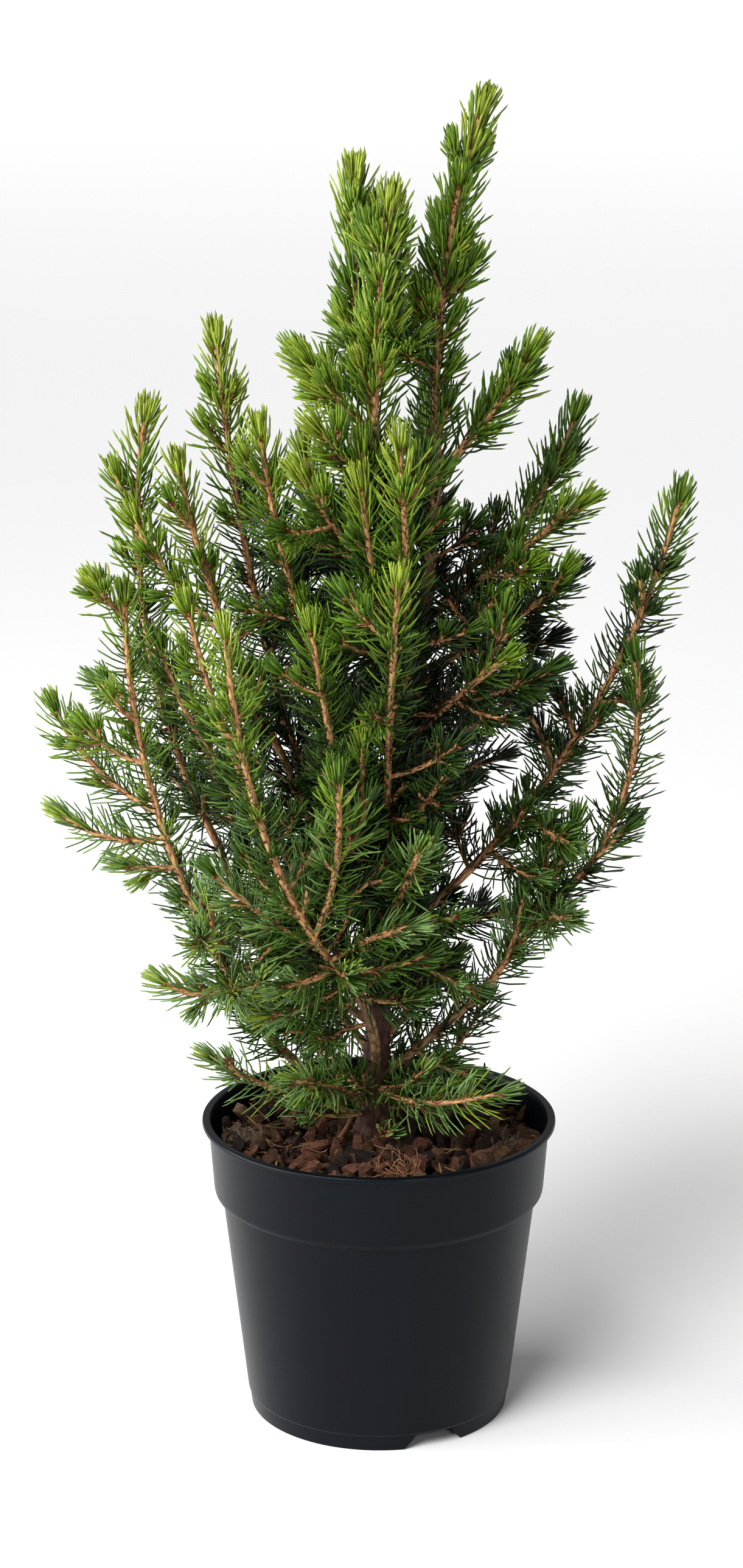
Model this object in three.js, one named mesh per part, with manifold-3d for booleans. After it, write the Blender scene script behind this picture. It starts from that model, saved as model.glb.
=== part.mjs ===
// A potted dwarf Alberta spruce: a young, many-stemmed conifer in a black nursery pot 130 mm across.
// Millimetres, +Z up. The origin is the middle of the pot's flat underside, and the front is -Y.
//
// A short trunk forks into two leaders. Boughs leave it all round, swing outwards and turn up, and each
// ends where its foliage starts. A mass of foliage is one stem with its side shoots, and its needles
// stand out of the stems as sprays, larger than life.

import * as THREE from "three";
import { mergeVertices } from "three/addons/utils/BufferGeometryUtils.js";
import Module from "manifold-3d";

const wasm = await Module();
wasm.setup();

// Pot
const POT_HEIGHT = 112;
const RIM_RADIUS = 65; // outside of the lip
const LIP_WIDTH = 2.4;
const LIP_THICKNESS = 1.9;
const WALL = 1.2;
const COLLAR_TOP_RADIUS = RIM_RADIUS - LIP_WIDTH;
const COLLAR_LOW_RADIUS = 60.8;
const COLLAR_BOTTOM = 83.5; // height where the collar steps in to the body
const COLLAR_ROUND = 3; // rounding at the collar's lower edge
const BODY_TOP_RADIUS = 57.8;
const BODY_LOW_RADIUS = 48.8;
const FOOT_RADIUS = 47.6;
const FOOT_HEIGHT = 6.2; // height of the notched foot ring
const FOOT_WALL = 2;
const PAD_RADIUS = 14; // flat pad under the middle of the floor
const NOTCHES = 3;
const NOTCH_AZIMUTH = 295; // degrees, of the notch that shows at the front
const NOTCH_WIDTH = 23; // at the ground
const NOTCH_TOP_WIDTH = 14;
const NOTCH_HEIGHT = 5.6;
const NOTCH_DEPTH = 14; // inwards, more than the foot ring's wall
const POT_SIDES = 36;

// Bark mulch
const MULCH_TOP = 102;
const MULCH_ROUGHNESS = 1.2;
const MULCH_SIDES = 22;
const MULCH_CLEARANCE = 0.6; // between the mulch and the pot's wall
const CHIPS = 14;
const CHIP_SIZE = [12, 7, 3.4];
const CHIP_TILT = 0.6; // radians, at most

// Plant
const GROUND = 104; // the trunk's cut, on a low mound of mulch
const MOUND_RADIUS = 15;
const FORK_HEIGHT = 216;
const GAP = 0.3; // between pieces that meet
const NEEDLE_LENGTH = 14;
const NEEDLE_LEAN = 54; // degrees from the stem
const TUFT_SIDE_LEAN = 34; // the same, just below a stem's tip
const TUFT_LEAN = 20; // the same, on the tip itself
const TUFT_LENGTH = 24; // stretch of stem over which the needles close up towards its tip
const NEEDLE_VARIETY = 8; // spread of the lean, in degrees
const STEM_STEP = 11.5; // from one whorl of sprays to the next, on a mass's stem
const STEM_SPRAYS = 4; // sprays in such a whorl
const TWIG_STEP = 8.5; // the same, on its side shoots and twigs
const TWIG_SPRAYS = 3;
const SPACE_STEP = 2.5; // between the points that mark where a stem or limb is
const SPACE_MARGIN = 0.8; // how much nearer a spray's tip is to its own mass than to the next
const LIMB_CLEARANCE = 0.9; // between a spray and a limb
const POT_CLEARANCE = 1.5; // between a spray and the pot
const MULCH_HEADROOM = 7; // between a spray and the mulch, whose chips stand up
const TWIG_CLEARANCE = 4; // between a seeded twig and other stems and limbs
const MOST_TRIES = 8; // at growing a mass
const TRY_SWELL = 0.03; // how much thicker its stems get with each try
const TRY_SEEDS = 5000; // how far its seeds move on with each try
const MASS_SEEDS = 50; // how far they move on from one mass to the next
const WHORL_TWIST = 0.38; // turn from one whorl to the next, as a share of the angle between sprays
const TWIG_ANGLE = 34; // between a seeded twig and its stem
const TWIG_LENGTH = 13;
const STEM_RADIUS = [1.5, 0.9]; // at its foot and its tip
const SIDE_SHOOT_RADIUS = [1.1, 0.9];
const TWIG_RADIUS = [1, 0.8];
const TWIG_BOW = 1;
const TWIG_BARE = 0.15; // share of a seeded twig that has no sprays
const LAST_TWIG = 0.88; // how far along its stem the last one is

// Each limb: name, the limb it leaves and how far along it, the azimuth, reach and height of its end,
// how far it bows outwards and sways sideways from a straight line, and its radius at root and end.
const TRUNK_FOOT = [-2.5, 0];
const TRUNK_FORK = [4, 4];
const TRUNK_RADIUS = [5.2, 3.4];
const TRUNK_BEND = [-0.8, -0.5]; // bow and sway
const TRUNK_SUNK = 4; // how far its curve starts under the cut
const ROOT_FLARE = 3.6; // how much thicker the trunk is at the cut
const ROOT_LOBES = 4;
const TRUNK_SIDES = 12;
const TRUNK_STEP = 11; // from ring to ring
const LIMB_SIDES = 6;
const LIMB_STEP = 16;
const LIMBS = [
  ["leader_right", "trunk", 1, 21, 22, 356, 3, 2, 2.9, 2.2],
  ["leader_left", "trunk", 1, 263, 15, 370, 0, 3, 2.9, 2.2],
  ["bough_front", "trunk", 0.25, 246, 33, 176, -3, 3, 2.8, 2.4],
  ["bough_left", "trunk", 0.14, 197, 51, 162, 6, 0, 2.8, 2.2],
  ["bough_right_upper", "trunk", 0.6, 10, 27, 198, -1, 1, 2.4, 2.0],
  ["bough_right_lower", "trunk", 0.22, 0, 39, 161, 1, 0, 2.5, 2.0],
  ["bough_left_high", "trunk", 0.68, 150, 36, 248, 6, 0, 2.2, 1.7],
  ["bough_left_outer", "trunk", 0.4, 168, 60, 212, 9, 0, 2.2, 1.7],
  ["bough_left_middle", "trunk", 0.8, 178, 34, 247, 5, 0, 2.1, 1.7],
  ["bough_left_low", "trunk", 0.5, 208, 36, 214, 4, 0, 2.1, 1.7],
  ["bough_left_inner", "trunk", 0.96, 192, 17, 266, 2, 0, 2.1, 1.7],
  ["bough_back_right", "trunk", 0.5, 60, 42, 215, 6, 0, 2.2, 1.7],
  ["bough_back", "trunk", 0.75, 104, 36, 236, 5, 0, 2.2, 1.7],
  ["bough_back_left", "trunk", 0.3, 138, 46, 184, 6, 0, 2.2, 1.7],
  ["bough_back_low", "trunk", 0.16, 84, 42, 158, 6, 0, 2.2, 1.7],
];

// Each mass of foliage: name, the limb it grows on and how far along it, the azimuth, reach and height
// of its stem's tip, bow, sway, the share of the stem that is bare at its foot, and its seeded twigs.
const MASSES = [
  ["foliage_top_right", "leader_right", 1, 8, 35, 474, -5, -2, 0.02, 7],
  ["foliage_top_left_front", "leader_left", 1, 281, 18, 445, -1, 0, 0.04, 3],
  ["foliage_top_left_back", "leader_left", 0.97, 199, 9, 452, 5, 0, 0.12, 2],
  ["foliage_right_01", "leader_right", 0.95, 0, 52, 392, 2, 1, 0.2, 2],
  ["foliage_right_02", "leader_right", 0.66, 30, 81, 363, 14, 4, 0.2, 3],
  ["foliage_right_03", "leader_right", 0.57, 354, 71, 341, 0, 1, 0.15, 2],
  ["foliage_right_04", "leader_right", 0.44, 20, 73, 309, 4, 2, 0.15, 1],
  ["foliage_right_05", "leader_right", 0.26, 319, 58, 293, 0, -2, 0.15, 1],
  ["foliage_right_06", "leader_right", 0.2, 42, 88, 266, 2, 0, 0.15, 2],
  ["foliage_right_07", "leader_right", 0.12, 50, 72, 234, 1, 2, 0.15, 1],
  ["foliage_right_upper", "bough_right_upper", 1, 3, 106, 340, 12, 3, 0.05, 3],
  ["foliage_right_lower", "bough_right_lower", 1, 357, 89, 223, -2, 0, 0.04, 2],
  ["foliage_low_right", "trunk", 0.2, 318, 59, 135, 3, -8, 0.2, 0],
  ["foliage_low_back_right", "trunk", 0.17, 37, 49, 146, 9, 0, 0.3, 0],
  ["foliage_inner_right", "trunk", 0.33, 50, 40, 160, 1, 0, 0.3, 0],
  ["foliage_left", "bough_left", 1, 193, 91, 309, 10, 0, 0.04, 3],
  ["foliage_left_outer", "bough_left_outer", 1, 174, 83, 368, 12, -2, 0.06, 3],
  ["foliage_left_high", "bough_left_high", 1, 168, 58, 394, 3, -4, 0.05, 3],
  ["foliage_left_middle", "bough_left_middle", 1, 182, 70, 352, 4, 0, 0.05, 3],
  ["foliage_left_low", "bough_left_low", 1, 206, 73, 308, 5, 2, 0.05, 1],
  ["foliage_left_inner", "bough_left_inner", 1, 191, 42, 365, 3, 0, 0.04, 3],
  ["foliage_front_left", "trunk", 0.62, 237, 43, 302, 9, 5, 0.12, 2],
  ["foliage_front_high", "leader_left", 0.2, 282, 33, 365, 9, 3, 0.1, 2],
  ["foliage_front", "trunk", 0.82, 277, 52, 321, 10, -2, 0.1, 2],
  ["foliage_front_inner", "leader_left", 0.36, 257, 29, 351, 4, 2, 0.12, 2],
  ["foliage_left_01", "leader_left", 0.97, 213, 29, 391, 0, 0, 0.15, 2],
  ["foliage_left_02", "leader_left", 0.83, 232, 33, 370, 0, 0, 0.15, 1],
  ["foliage_left_03", "leader_left", 0.6, 215, 32, 352, 1, 0, 0.15, 1],
  ["foliage_front_bough", "bough_front", 1, 229, 79, 305, 14, 6, 0.03, 3],
  ["foliage_front_right", "trunk", 0.62, 283, 63, 231, 1, -2, 0.1, 1],
  ["foliage_front_low", "trunk", 0.48, 297, 41, 186, -2, -2, 0.2, 1],
  ["foliage_back_lower_right", "trunk", 0.64, 36, 56, 180, 0, 2, 0.2, 1],
  ["foliage_low_front", "trunk", 0.13, 234, 53, 140, -3, 0, 0.35, 0],
  ["foliage_low_left", "trunk", 0.1, 194, 62, 139, 3, 0, 0.35, 1],
  ["foliage_back_right", "bough_back_right", 1, 60, 84, 296, 9, 0, 0.04, 3],
  ["foliage_back", "bough_back", 1, 102, 80, 322, 8, 0, 0.04, 3],
  ["foliage_back_left", "bough_back_left", 1, 138, 98, 270, 10, 0, 0.04, 3],
  ["foliage_back_low", "bough_back_low", 1, 80, 97, 228, 9, 0, 0.04, 3],
  ["foliage_back_high_right", "leader_right", 0.55, 68, 46, 368, 5, 0, 0.1, 2],
  ["foliage_back_high_left", "leader_left", 0.4, 132, 40, 352, 5, 0, 0.1, 2],
  ["foliage_low_back_left", "trunk", 0.12, 124, 62, 146, 3, 0, 0.25, 1],
];

// Side shoots that are part of a mass: the mass and how far along its stem, then as above.
const SIDE_SHOOTS = [
  ["foliage_right_04", 0.25, 340, 44, 309, 0, -2, 0.1],
  ["foliage_right_upper", 0.34, 7, 54, 262, -1, 0, 0.1],
  ["foliage_right_upper", 0.43, 5, 65, 268, 0, 0, 0.1],
  ["foliage_right_upper", 0.52, 4, 92, 272, 2, 0, 0.1],
  ["foliage_right_upper", 0.22, 340, 72, 222, 0, 0, 0.1],
  ["foliage_right_upper", 0.3, 28, 78, 240, 0, 0, 0.1],
  ["foliage_right_lower", 0.8, 357, 91, 285, 6, 0, 0.08],
  ["foliage_right_lower", 0.35, 353, 61, 223, 1, 1, 0.1],
  ["foliage_right_lower", 0.38, 334, 75, 198, -1, 0, 0.1],
  ["foliage_left", 0.04, 191, 79, 168, 4, 0, 0.15],
  ["foliage_left", 0.36, 193, 92, 214, 1, 0, 0.1],
  ["foliage_left", 0.44, 183, 113, 228, 5, 0, 0.1],
  ["foliage_left", 0.5, 184, 115, 267, 6, -3, 0.1],
  ["foliage_left", 0.77, 182, 99, 276, 1, -1, 0.1],
  ["foliage_left", 0.96, 194, 101, 315, 0, 0, 0.1],
  ["foliage_left_low", 0.18, 189, 78, 291, 4, 2, 0.1],
  ["foliage_left_middle", 0.45, 178, 86, 333, 3, 0, 0.15],
  ["foliage_front_inner", 0.4, 255, 22, 363, 1, 0, 0.1],
  ["foliage_left_03", 0.3, 184, 28, 328, -1, 0, 0.15],
  ["foliage_front_bough", 0.16, 257, 64, 256, 5, 2, 0.08],
  ["foliage_front_bough", 0.03, 233, 58, 176, 1, 0, 0.1],
  ["foliage_front_bough", 0.06, 284, 51, 200, -2, -2, 0.1],
  ["foliage_front", 0.22, 300, 46, 252, 1, 0, 0.1],
  ["foliage_back_right", 0.3, 76, 74, 252, 3, 0, 0.1],
  ["foliage_back", 0.3, 122, 66, 286, 3, 0, 0.1],
  ["foliage_back_left", 0.35, 156, 88, 238, 3, 0, 0.1],
  ["foliage_back_low", 0.3, 106, 84, 196, 3, 0, 0.1],
];

const UP = new THREE.Vector3(0, 0, 1);
const RADIANS = Math.PI / 180;
const GOLDEN_ANGLE = 137.5 * RADIANS;
const MERGE = 1e-4; // vertices nearer than this are one

// A repeatable source of numbers from 0 to 1.
function seeded(seed) {
  let state = seed;
  return () => {
    state = (Math.imul(state, 1664525) + 1013904223) >>> 0;
    return state / 4294967296;
  };
}

function polar(azimuth, reach, height) {
  const a = azimuth * RADIANS;
  return new THREE.Vector3(reach * Math.cos(a), reach * Math.sin(a), height);
}

// The direction that leans from along towards across by an angle.
function leaned(along, across, angle) {
  return along.clone().multiplyScalar(Math.cos(angle)).addScaledVector(across, Math.sin(angle));
}

// A geometry with positions only, its shared vertices merged.
function bareOf(geometry) {
  geometry.deleteAttribute("normal");
  geometry.deleteAttribute("uv");
  return mergeVertices(geometry, MERGE);
}

// A closed geometry as a solid.
function solidOf(geometry) {
  const merged = bareOf(geometry);
  const mesh = new wasm.Mesh({
    numProp: 3,
    vertProperties: new Float32Array(merged.getAttribute("position").array),
    triVerts: new Uint32Array(merged.getIndex().array),
  });
  return new wasm.Manifold(mesh);
}

function geometryOf(solid) {
  const mesh = solid.getMesh();
  const positions = new Float32Array(mesh.numVert * 3);
  for (let i = 0; i < mesh.numVert; i++) {
    positions.set(mesh.vertProperties.subarray(i * mesh.numProp, i * mesh.numProp + 3), i * 3);
  }
  const geometry = new THREE.BufferGeometry();
  geometry.setAttribute("position", new THREE.BufferAttribute(positions, 3));
  geometry.setIndex(new THREE.BufferAttribute(new Uint32Array(mesh.triVerts), 1));
  geometry.computeVertexNormals();
  return geometry;
}

// The largest piece, where a cut has left scraps.
function largest(solid) {
  return solid.decompose().reduce((a, b) => (b.volume() > a.volume() ? b : a));
}

// A smooth line from foot to tip. Bow moves its middle outwards, square to the chord in the chord's
// upright plane, and sway moves it sideways.
function bowedCurve(foot, tip, bow, sway) {
  const chord = tip.clone().sub(foot);
  const side = UP.clone().cross(chord).normalize();
  const out = side.clone().cross(chord).normalize();
  const middle = foot.clone().add(tip).multiplyScalar(0.5);
  const control = middle.addScaledVector(out, 2 * bow).addScaledVector(side, 2 * sway);
  return new THREE.QuadraticBezierCurve3(foot, control, tip);
}

// A tapered, closed tube along a curve: a cylinder whose rings are moved on to the curve. Its side
// faces come first in the index, six entries to a quad, then its foot and tip caps.
function taperedTube(curve, radiusAt, sides, rings, twist = 0) {
  const tube = bareOf(new THREE.CylinderGeometry(1, 1, 1, sides, rings));
  const position = tube.getAttribute("position");
  const frames = curve.computeFrenetFrames(rings, false);
  for (let i = 0; i < position.count; i++) {
    const t = position.getY(i) + 0.5;
    const ring = Math.round(t * rings);
    const angle = Math.atan2(position.getX(i), position.getZ(i)) + ring * twist;
    const onWall = Math.hypot(position.getX(i), position.getZ(i)) > 0.5;
    const place = curve.getPointAt(t);
    if (onWall) {
      const radius = radiusAt(t, angle);
      place.addScaledVector(frames.binormals[ring], radius * Math.cos(angle));
      place.addScaledVector(frames.normals[ring], -radius * Math.sin(angle));
    }
    position.setXYZ(i, place.x, place.y, place.z);
  }
  return { geometry: tube, quads: sides * rings };
}

// Limbs and stems as strands: a curve, a radius along it, and the node it belongs to. Points along each
// strand mark the space that it takes.
const strands = new Map();
const spacePoints = [];

function strand(name, owner, curve, radiusAt) {
  const made = { name, owner, curve, radiusAt, length: curve.getLength() };
  strands.set(name, made);
  const steps = Math.ceil(made.length / SPACE_STEP);
  for (let i = 0; i <= steps; i++) {
    spacePoints.push({ place: curve.getPointAt(i / steps), radius: radiusAt(i / steps), strand: made });
  }
  return made;
}

function tapered([root, end]) {
  return (t) => root + (end - root) * t;
}

function trunkStrand() {
  const foot = new THREE.Vector3(...TRUNK_FOOT, GROUND - TRUNK_SUNK);
  const fork = new THREE.Vector3(...TRUNK_FORK, FORK_HEIGHT);
  const taper = tapered(TRUNK_RADIUS);
  const flared = (t) => taper(t) + ROOT_FLARE * Math.exp(-t * 14);
  const trunk = strand("trunk", "trunk", bowedCurve(foot, fork, ...TRUNK_BEND), flared);
  trunk.lobes = (t, angle) => 1 + 0.16 * Math.exp(-t * 9) * Math.cos(ROOT_LOBES * angle);
  return trunk;
}

// The curve of a limb or stem that leaves another one.
function leaving(from, at, azimuth, reach, height, bow, sway) {
  const foot = strands.get(from).curve.getPointAt(at);
  return bowedCurve(foot, polar(azimuth, reach, height), bow, sway);
}

function limbStrands() {
  return LIMBS.map(([name, from, at, azimuth, reach, height, bow, sway, root, end]) => {
    const curve = leaving(from, at, azimuth, reach, height, bow, sway);
    const limb = strand(name, name, curve, tapered([root, end]));
    return Object.assign(limb, { from });
  });
}

function stemStrands() {
  return MASSES.map(([name, from, at, azimuth, reach, height, bow, sway, bare, twigs]) => {
    const curve = leaving(from, at, azimuth, reach, height, bow, sway);
    const stem = strand(name, name, curve, tapered(STEM_RADIUS));
    return Object.assign(stem, { from, bare, twigs, sprays: STEM_SPRAYS, step: STEM_STEP });
  });
}

function sideShootStrands() {
  SIDE_SHOOTS.forEach(([mass, at, azimuth, reach, height, bow, sway, bare], i) => {
    const curve = leaving(mass, at, azimuth, reach, height, bow, sway);
    const shoot = strand(`${mass}.side.${i}`, mass, curve, tapered(SIDE_SHOOT_RADIUS));
    Object.assign(shoot, { bare, sprays: TWIG_SPRAYS, step: TWIG_STEP });
  });
}

// True where a twig of this stem would come too near another strand, the pot or the mulch.
function isCrowded(curve, stem) {
  return [0.4, 0.6, 0.8, 1].some((t) => {
    const point = curve.getPointAt(t);
    const near = (p) => p.strand !== stem && p.place.distanceTo(point) < p.radius + TWIG_CLEARANCE;
    return insidePotOrMulch(point) || spacePoints.some(near);
  });
}

// Short twigs spread along a mass's stem by a seeded rule, each turned by the golden angle. One that
// would be crowded is left out.
function twigStrands(stem, seed) {
  const random = seeded(seed);
  for (let k = 0; k < stem.twigs; k++) {
    const at = stem.bare + (LAST_TWIG - stem.bare) * ((k + 0.35 + 0.5 * random()) / stem.twigs);
    const foot = stem.curve.getPointAt(at);
    const along = stem.curve.getTangentAt(at);
    const turn = GOLDEN_ANGLE * k + random();
    const across = Math.abs(along.z) > 0.9 ? new THREE.Vector3(1, 0, 0) : UP.clone();
    across.cross(along).normalize().applyAxisAngle(along, turn);
    const length = TWIG_LENGTH * (0.75 + 0.5 * random());
    const tip = foot.clone().addScaledVector(leaned(along, across, TWIG_ANGLE * RADIANS), length);
    const curve = bowedCurve(foot, tip, TWIG_BOW, 0);
    if (isCrowded(curve, stem)) continue;
    const twig = strand(`${stem.name}.twig.${k}`, stem.name, curve, tapered(TWIG_RADIUS));
    Object.assign(twig, { bare: TWIG_BARE, sprays: TWIG_SPRAYS, step: TWIG_STEP });
  }
}

function insidePotOrMulch(point) {
  const reach = Math.hypot(point.x, point.y);
  if (reach > RIM_RADIUS + POT_CLEARANCE) return false;
  const byWall = reach > COLLAR_LOW_RADIUS - WALL - POT_CLEARANCE;
  return point.z < (byWall ? POT_HEIGHT + POT_CLEARANCE : MULCH_TOP + MULCH_HEADROOM);
}

// True where a spray of this strand may be: nearer to its own stem than to its mass's other stems, by
// more than a margin nearer than to any other mass's, and clear of the limbs, the pot and the mulch.
function isFree(point, s, margin) {
  if (insidePotOrMulch(point)) return false;
  let own = Infinity;
  let other = Infinity;
  for (const p of spacePoints) {
    const distance = p.place.distanceTo(point);
    if (p.strand === s) own = Math.min(own, distance);
    else if (p.strand.owner === s.owner) other = Math.min(other, distance + margin);
    else if (p.strand.sprays) other = Math.min(other, distance);
    else if (distance - p.radius < LIMB_CLEARANCE) return false;
  }
  return own + margin < other;
}

// How much of a spray from root to tip is free: all of it, a shorter one, or none. The margin is wider
// near its root, where a spray is thicker.
function freeShare(root, tip, s) {
  for (const share of [1, 0.8, 0.62]) {
    const free = [0.25, 0.45, 0.65, 0.85, 1].every((part) => {
      const point = root.clone().lerp(tip, part * share);
      return isFree(point, s, SPACE_MARGIN * (3 - 2 * part));
    });
    if (free) return share;
  }
  return 0;
}

// The stem's tube with sprays of needles raised on its side faces and on its tip: a raised face becomes
// a spike from its own corners to the spray's tip.
function needledSolid(s, seed, swell) {
  const random = seeded(seed);
  const radiusAt = (t) => s.radiusAt(t) * swell;
  const rings = Math.max(2, Math.round(s.length / s.step));
  const twist = (WHORL_TWIST * 2 * Math.PI) / s.sprays;
  const { geometry, quads } = taperedTube(s.curve, radiusAt, s.sprays, rings, twist);
  const positions = Array.from(geometry.getAttribute("position").array);
  const index = Array.from(geometry.getIndex().array);
  const faces = [];
  const corner = (i) => new THREE.Vector3().fromArray(positions, i * 3);
  const middleOf = (corners) => {
    const sum = corners.reduce((total, i) => total.add(corner(i)), new THREE.Vector3());
    return sum.multiplyScalar(1 / corners.length);
  };
  const raise = (corners, t, meanLean, length) => {
    const root = middleOf(corners);
    const along = s.curve.getTangentAt(t);
    const onAxis = s.curve.getPointAt(t);
    const out = root.clone().sub(onAxis);
    out.addScaledVector(along, -out.dot(along)).normalize();
    const lean = (meanLean + NEEDLE_VARIETY * (random() - 0.5)) * RADIANS;
    const reach = length * (0.86 + 0.24 * random());
    const tip = root.clone().addScaledVector(leaned(along, out, lean), reach);
    const share = freeShare(root, tip, s);
    if (share === 0) return false;
    const apex = positions.length / 3;
    positions.push(...root.lerp(tip, share).toArray());
    corners.forEach((a, i) => faces.push(a, corners[(i + 1) % corners.length], apex));
    return true;
  };
  for (let q = 0; q < quads; q++) {
    const [a, b, d, , c] = index.slice(q * 6, q * 6 + 6);
    const t = 1 - ((q % rings) + 0.5) / rings;
    const fromTip = Math.min(1, ((1 - t) * s.length) / TUFT_LENGTH);
    const lean = TUFT_SIDE_LEAN + (NEEDLE_LEAN - TUFT_SIDE_LEAN) * fromTip;
    const raised = t > s.bare && raise([a, b, c, d], t, lean, NEEDLE_LENGTH);
    if (!raised) faces.push(...index.slice(q * 6, q * 6 + 6));
  }
  for (let k = quads * 6; k < index.length; k += 3) {
    const corners = index.slice(k, k + 3);
    const atTip = middleOf(corners).distanceTo(s.curve.getPointAt(1)) < 2;
    const raised = atTip && raise(corners, 1, TUFT_LEAN, NEEDLE_LENGTH * 0.9);
    if (!raised) faces.push(...corners);
  }
  const made = new THREE.BufferGeometry();
  made.setAttribute("position", new THREE.BufferAttribute(new Float32Array(positions), 3));
  made.setIndex(faces);
  return solidOf(made);
}

// A limb's solid. With a clearance it is the same shape grown on all sides, which cuts room for the
// limb out of its neighbours.
function limbSolid(s, clearance) {
  const [sides, step] = s.name === "trunk" ? [TRUNK_SIDES, TRUNK_STEP] : [LIMB_SIDES, LIMB_STEP];
  const rings = Math.max(3, Math.round(s.length / step));
  const grown = clearance / Math.cos(Math.PI / sides);
  const radiusAt = (t, angle) => s.radiusAt(t) * (s.lobes ? s.lobes(t, angle) : 1) + grown;
  const end = s.curve.getPointAt(1).addScaledVector(s.curve.getTangentAt(1), clearance);
  const curve = new THREE.QuadraticBezierCurve3(s.curve.v0, s.curve.v1, end);
  return solidOf(taperedTube(curve, radiusAt, sides, rings).geometry);
}

function addMesh(group, name, solid, material) {
  const mesh = new THREE.Mesh(geometryOf(solid), material);
  mesh.name = name;
  group.add(mesh);
}

function lathe(profile, sides) {
  const points = profile.map(([r, z]) => new THREE.Vector2(r, z));
  const turned = new THREE.LatheGeometry(points, sides);
  turned.rotateX(Math.PI / 2);
  return turned;
}

// The pot: a tapered body with a stepped collar and a lip, on a foot ring with drainage notches.
function potSolid() {
  const lipBottom = POT_HEIGHT - LIP_THICKNESS;
  const collarInside = COLLAR_LOW_RADIUS - WALL;
  const profile = [
    [0, 0],
    [PAD_RADIUS, 0],
    [PAD_RADIUS + 1, FOOT_HEIGHT - WALL],
    [FOOT_RADIUS - FOOT_WALL - 0.4, FOOT_HEIGHT - WALL],
    [FOOT_RADIUS - FOOT_WALL, 0],
    [FOOT_RADIUS, 0],
    [BODY_LOW_RADIUS - 0.5, FOOT_HEIGHT - 0.3],
    [BODY_LOW_RADIUS, FOOT_HEIGHT + 0.3],
    [BODY_TOP_RADIUS, COLLAR_BOTTOM - 0.5],
    [COLLAR_LOW_RADIUS - 2, COLLAR_BOTTOM],
    [COLLAR_LOW_RADIUS - 0.7, COLLAR_BOTTOM + COLLAR_ROUND * 0.35],
    [COLLAR_LOW_RADIUS, COLLAR_BOTTOM + COLLAR_ROUND],
    [COLLAR_TOP_RADIUS, lipBottom],
    [RIM_RADIUS - 0.3, lipBottom + 0.2],
    [RIM_RADIUS, lipBottom + LIP_THICKNESS * 0.5],
    [RIM_RADIUS - 0.4, POT_HEIGHT],
    [COLLAR_TOP_RADIUS - WALL, POT_HEIGHT - 0.2],
    [collarInside, COLLAR_BOTTOM + COLLAR_ROUND],
    [BODY_TOP_RADIUS - WALL, COLLAR_BOTTOM - 0.5],
    [BODY_LOW_RADIUS - WALL, FOOT_HEIGHT],
    [0, FOOT_HEIGHT],
  ];
  let pot = solidOf(lathe(profile, POT_SIDES));
  for (let i = 0; i < NOTCHES; i++) pot = pot.subtract(notchSolid(NOTCH_AZIMUTH + (360 / NOTCHES) * i));
  return pot;
}

function notchSolid(azimuth) {
  const outline = new THREE.Shape();
  outline.moveTo(-NOTCH_WIDTH / 2, -1);
  outline.lineTo(NOTCH_WIDTH / 2, -1);
  outline.lineTo(NOTCH_WIDTH / 2, 0);
  outline.lineTo(NOTCH_TOP_WIDTH / 2, NOTCH_HEIGHT);
  outline.lineTo(-NOTCH_TOP_WIDTH / 2, NOTCH_HEIGHT);
  outline.lineTo(-NOTCH_WIDTH / 2, 0);
  const wedge = new THREE.ExtrudeGeometry(outline, { depth: NOTCH_DEPTH, bevelEnabled: false });
  wedge.rotateX(Math.PI / 2);
  wedge.rotateZ(Math.PI / 2);
  wedge.translate(FOOT_RADIUS - NOTCH_DEPTH / 2, 0, 0);
  wedge.rotateZ(azimuth * RADIANS);
  return solidOf(wedge);
}

// The mulch: a plug that fills the pot, with an uneven top, a flat mound under the trunk, and chips.
function mulchSolid() {
  const floor = FOOT_HEIGHT + GAP;
  const innerWall = (z) => {
    const share = (z - FOOT_HEIGHT) / (COLLAR_BOTTOM - FOOT_HEIGHT);
    return BODY_LOW_RADIUS + (BODY_TOP_RADIUS - BODY_LOW_RADIUS) * share - WALL - MULCH_CLEARANCE;
  };
  const shoulder = COLLAR_BOTTOM - 1;
  const edge = COLLAR_LOW_RADIUS - WALL - MULCH_CLEARANCE - 0.4;
  const profile = [
    [0, floor],
    [innerWall(FOOT_HEIGHT) - 1, floor],
    [innerWall(FOOT_HEIGHT + 2), FOOT_HEIGHT + 2],
    [innerWall(shoulder), shoulder],
    [edge, COLLAR_BOTTOM + COLLAR_ROUND],
    [edge, MULCH_TOP - 2],
    [edge - 8, MULCH_TOP],
    [edge - 18, MULCH_TOP],
    [edge - 29, MULCH_TOP],
    [MOUND_RADIUS, GROUND],
    [0, GROUND],
  ];
  const random = seeded(41);
  const plug = bareOf(lathe(profile, MULCH_SIDES));
  const position = plug.getAttribute("position");
  for (let i = 0; i < position.count; i++) {
    const reach = Math.hypot(position.getX(i), position.getY(i));
    const onTop = position.getZ(i) > MULCH_TOP - 3 && reach > MOUND_RADIUS + 1;
    const bump = MULCH_ROUGHNESS * (2 * random() - 1);
    if (onTop) position.setZ(i, position.getZ(i) + bump);
  }
  let mulch = solidOf(plug);
  for (let i = 0; i < CHIPS; i++) mulch = mulch.add(chipSolid(i, edge, random));
  return largest(mulch);
}

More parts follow.
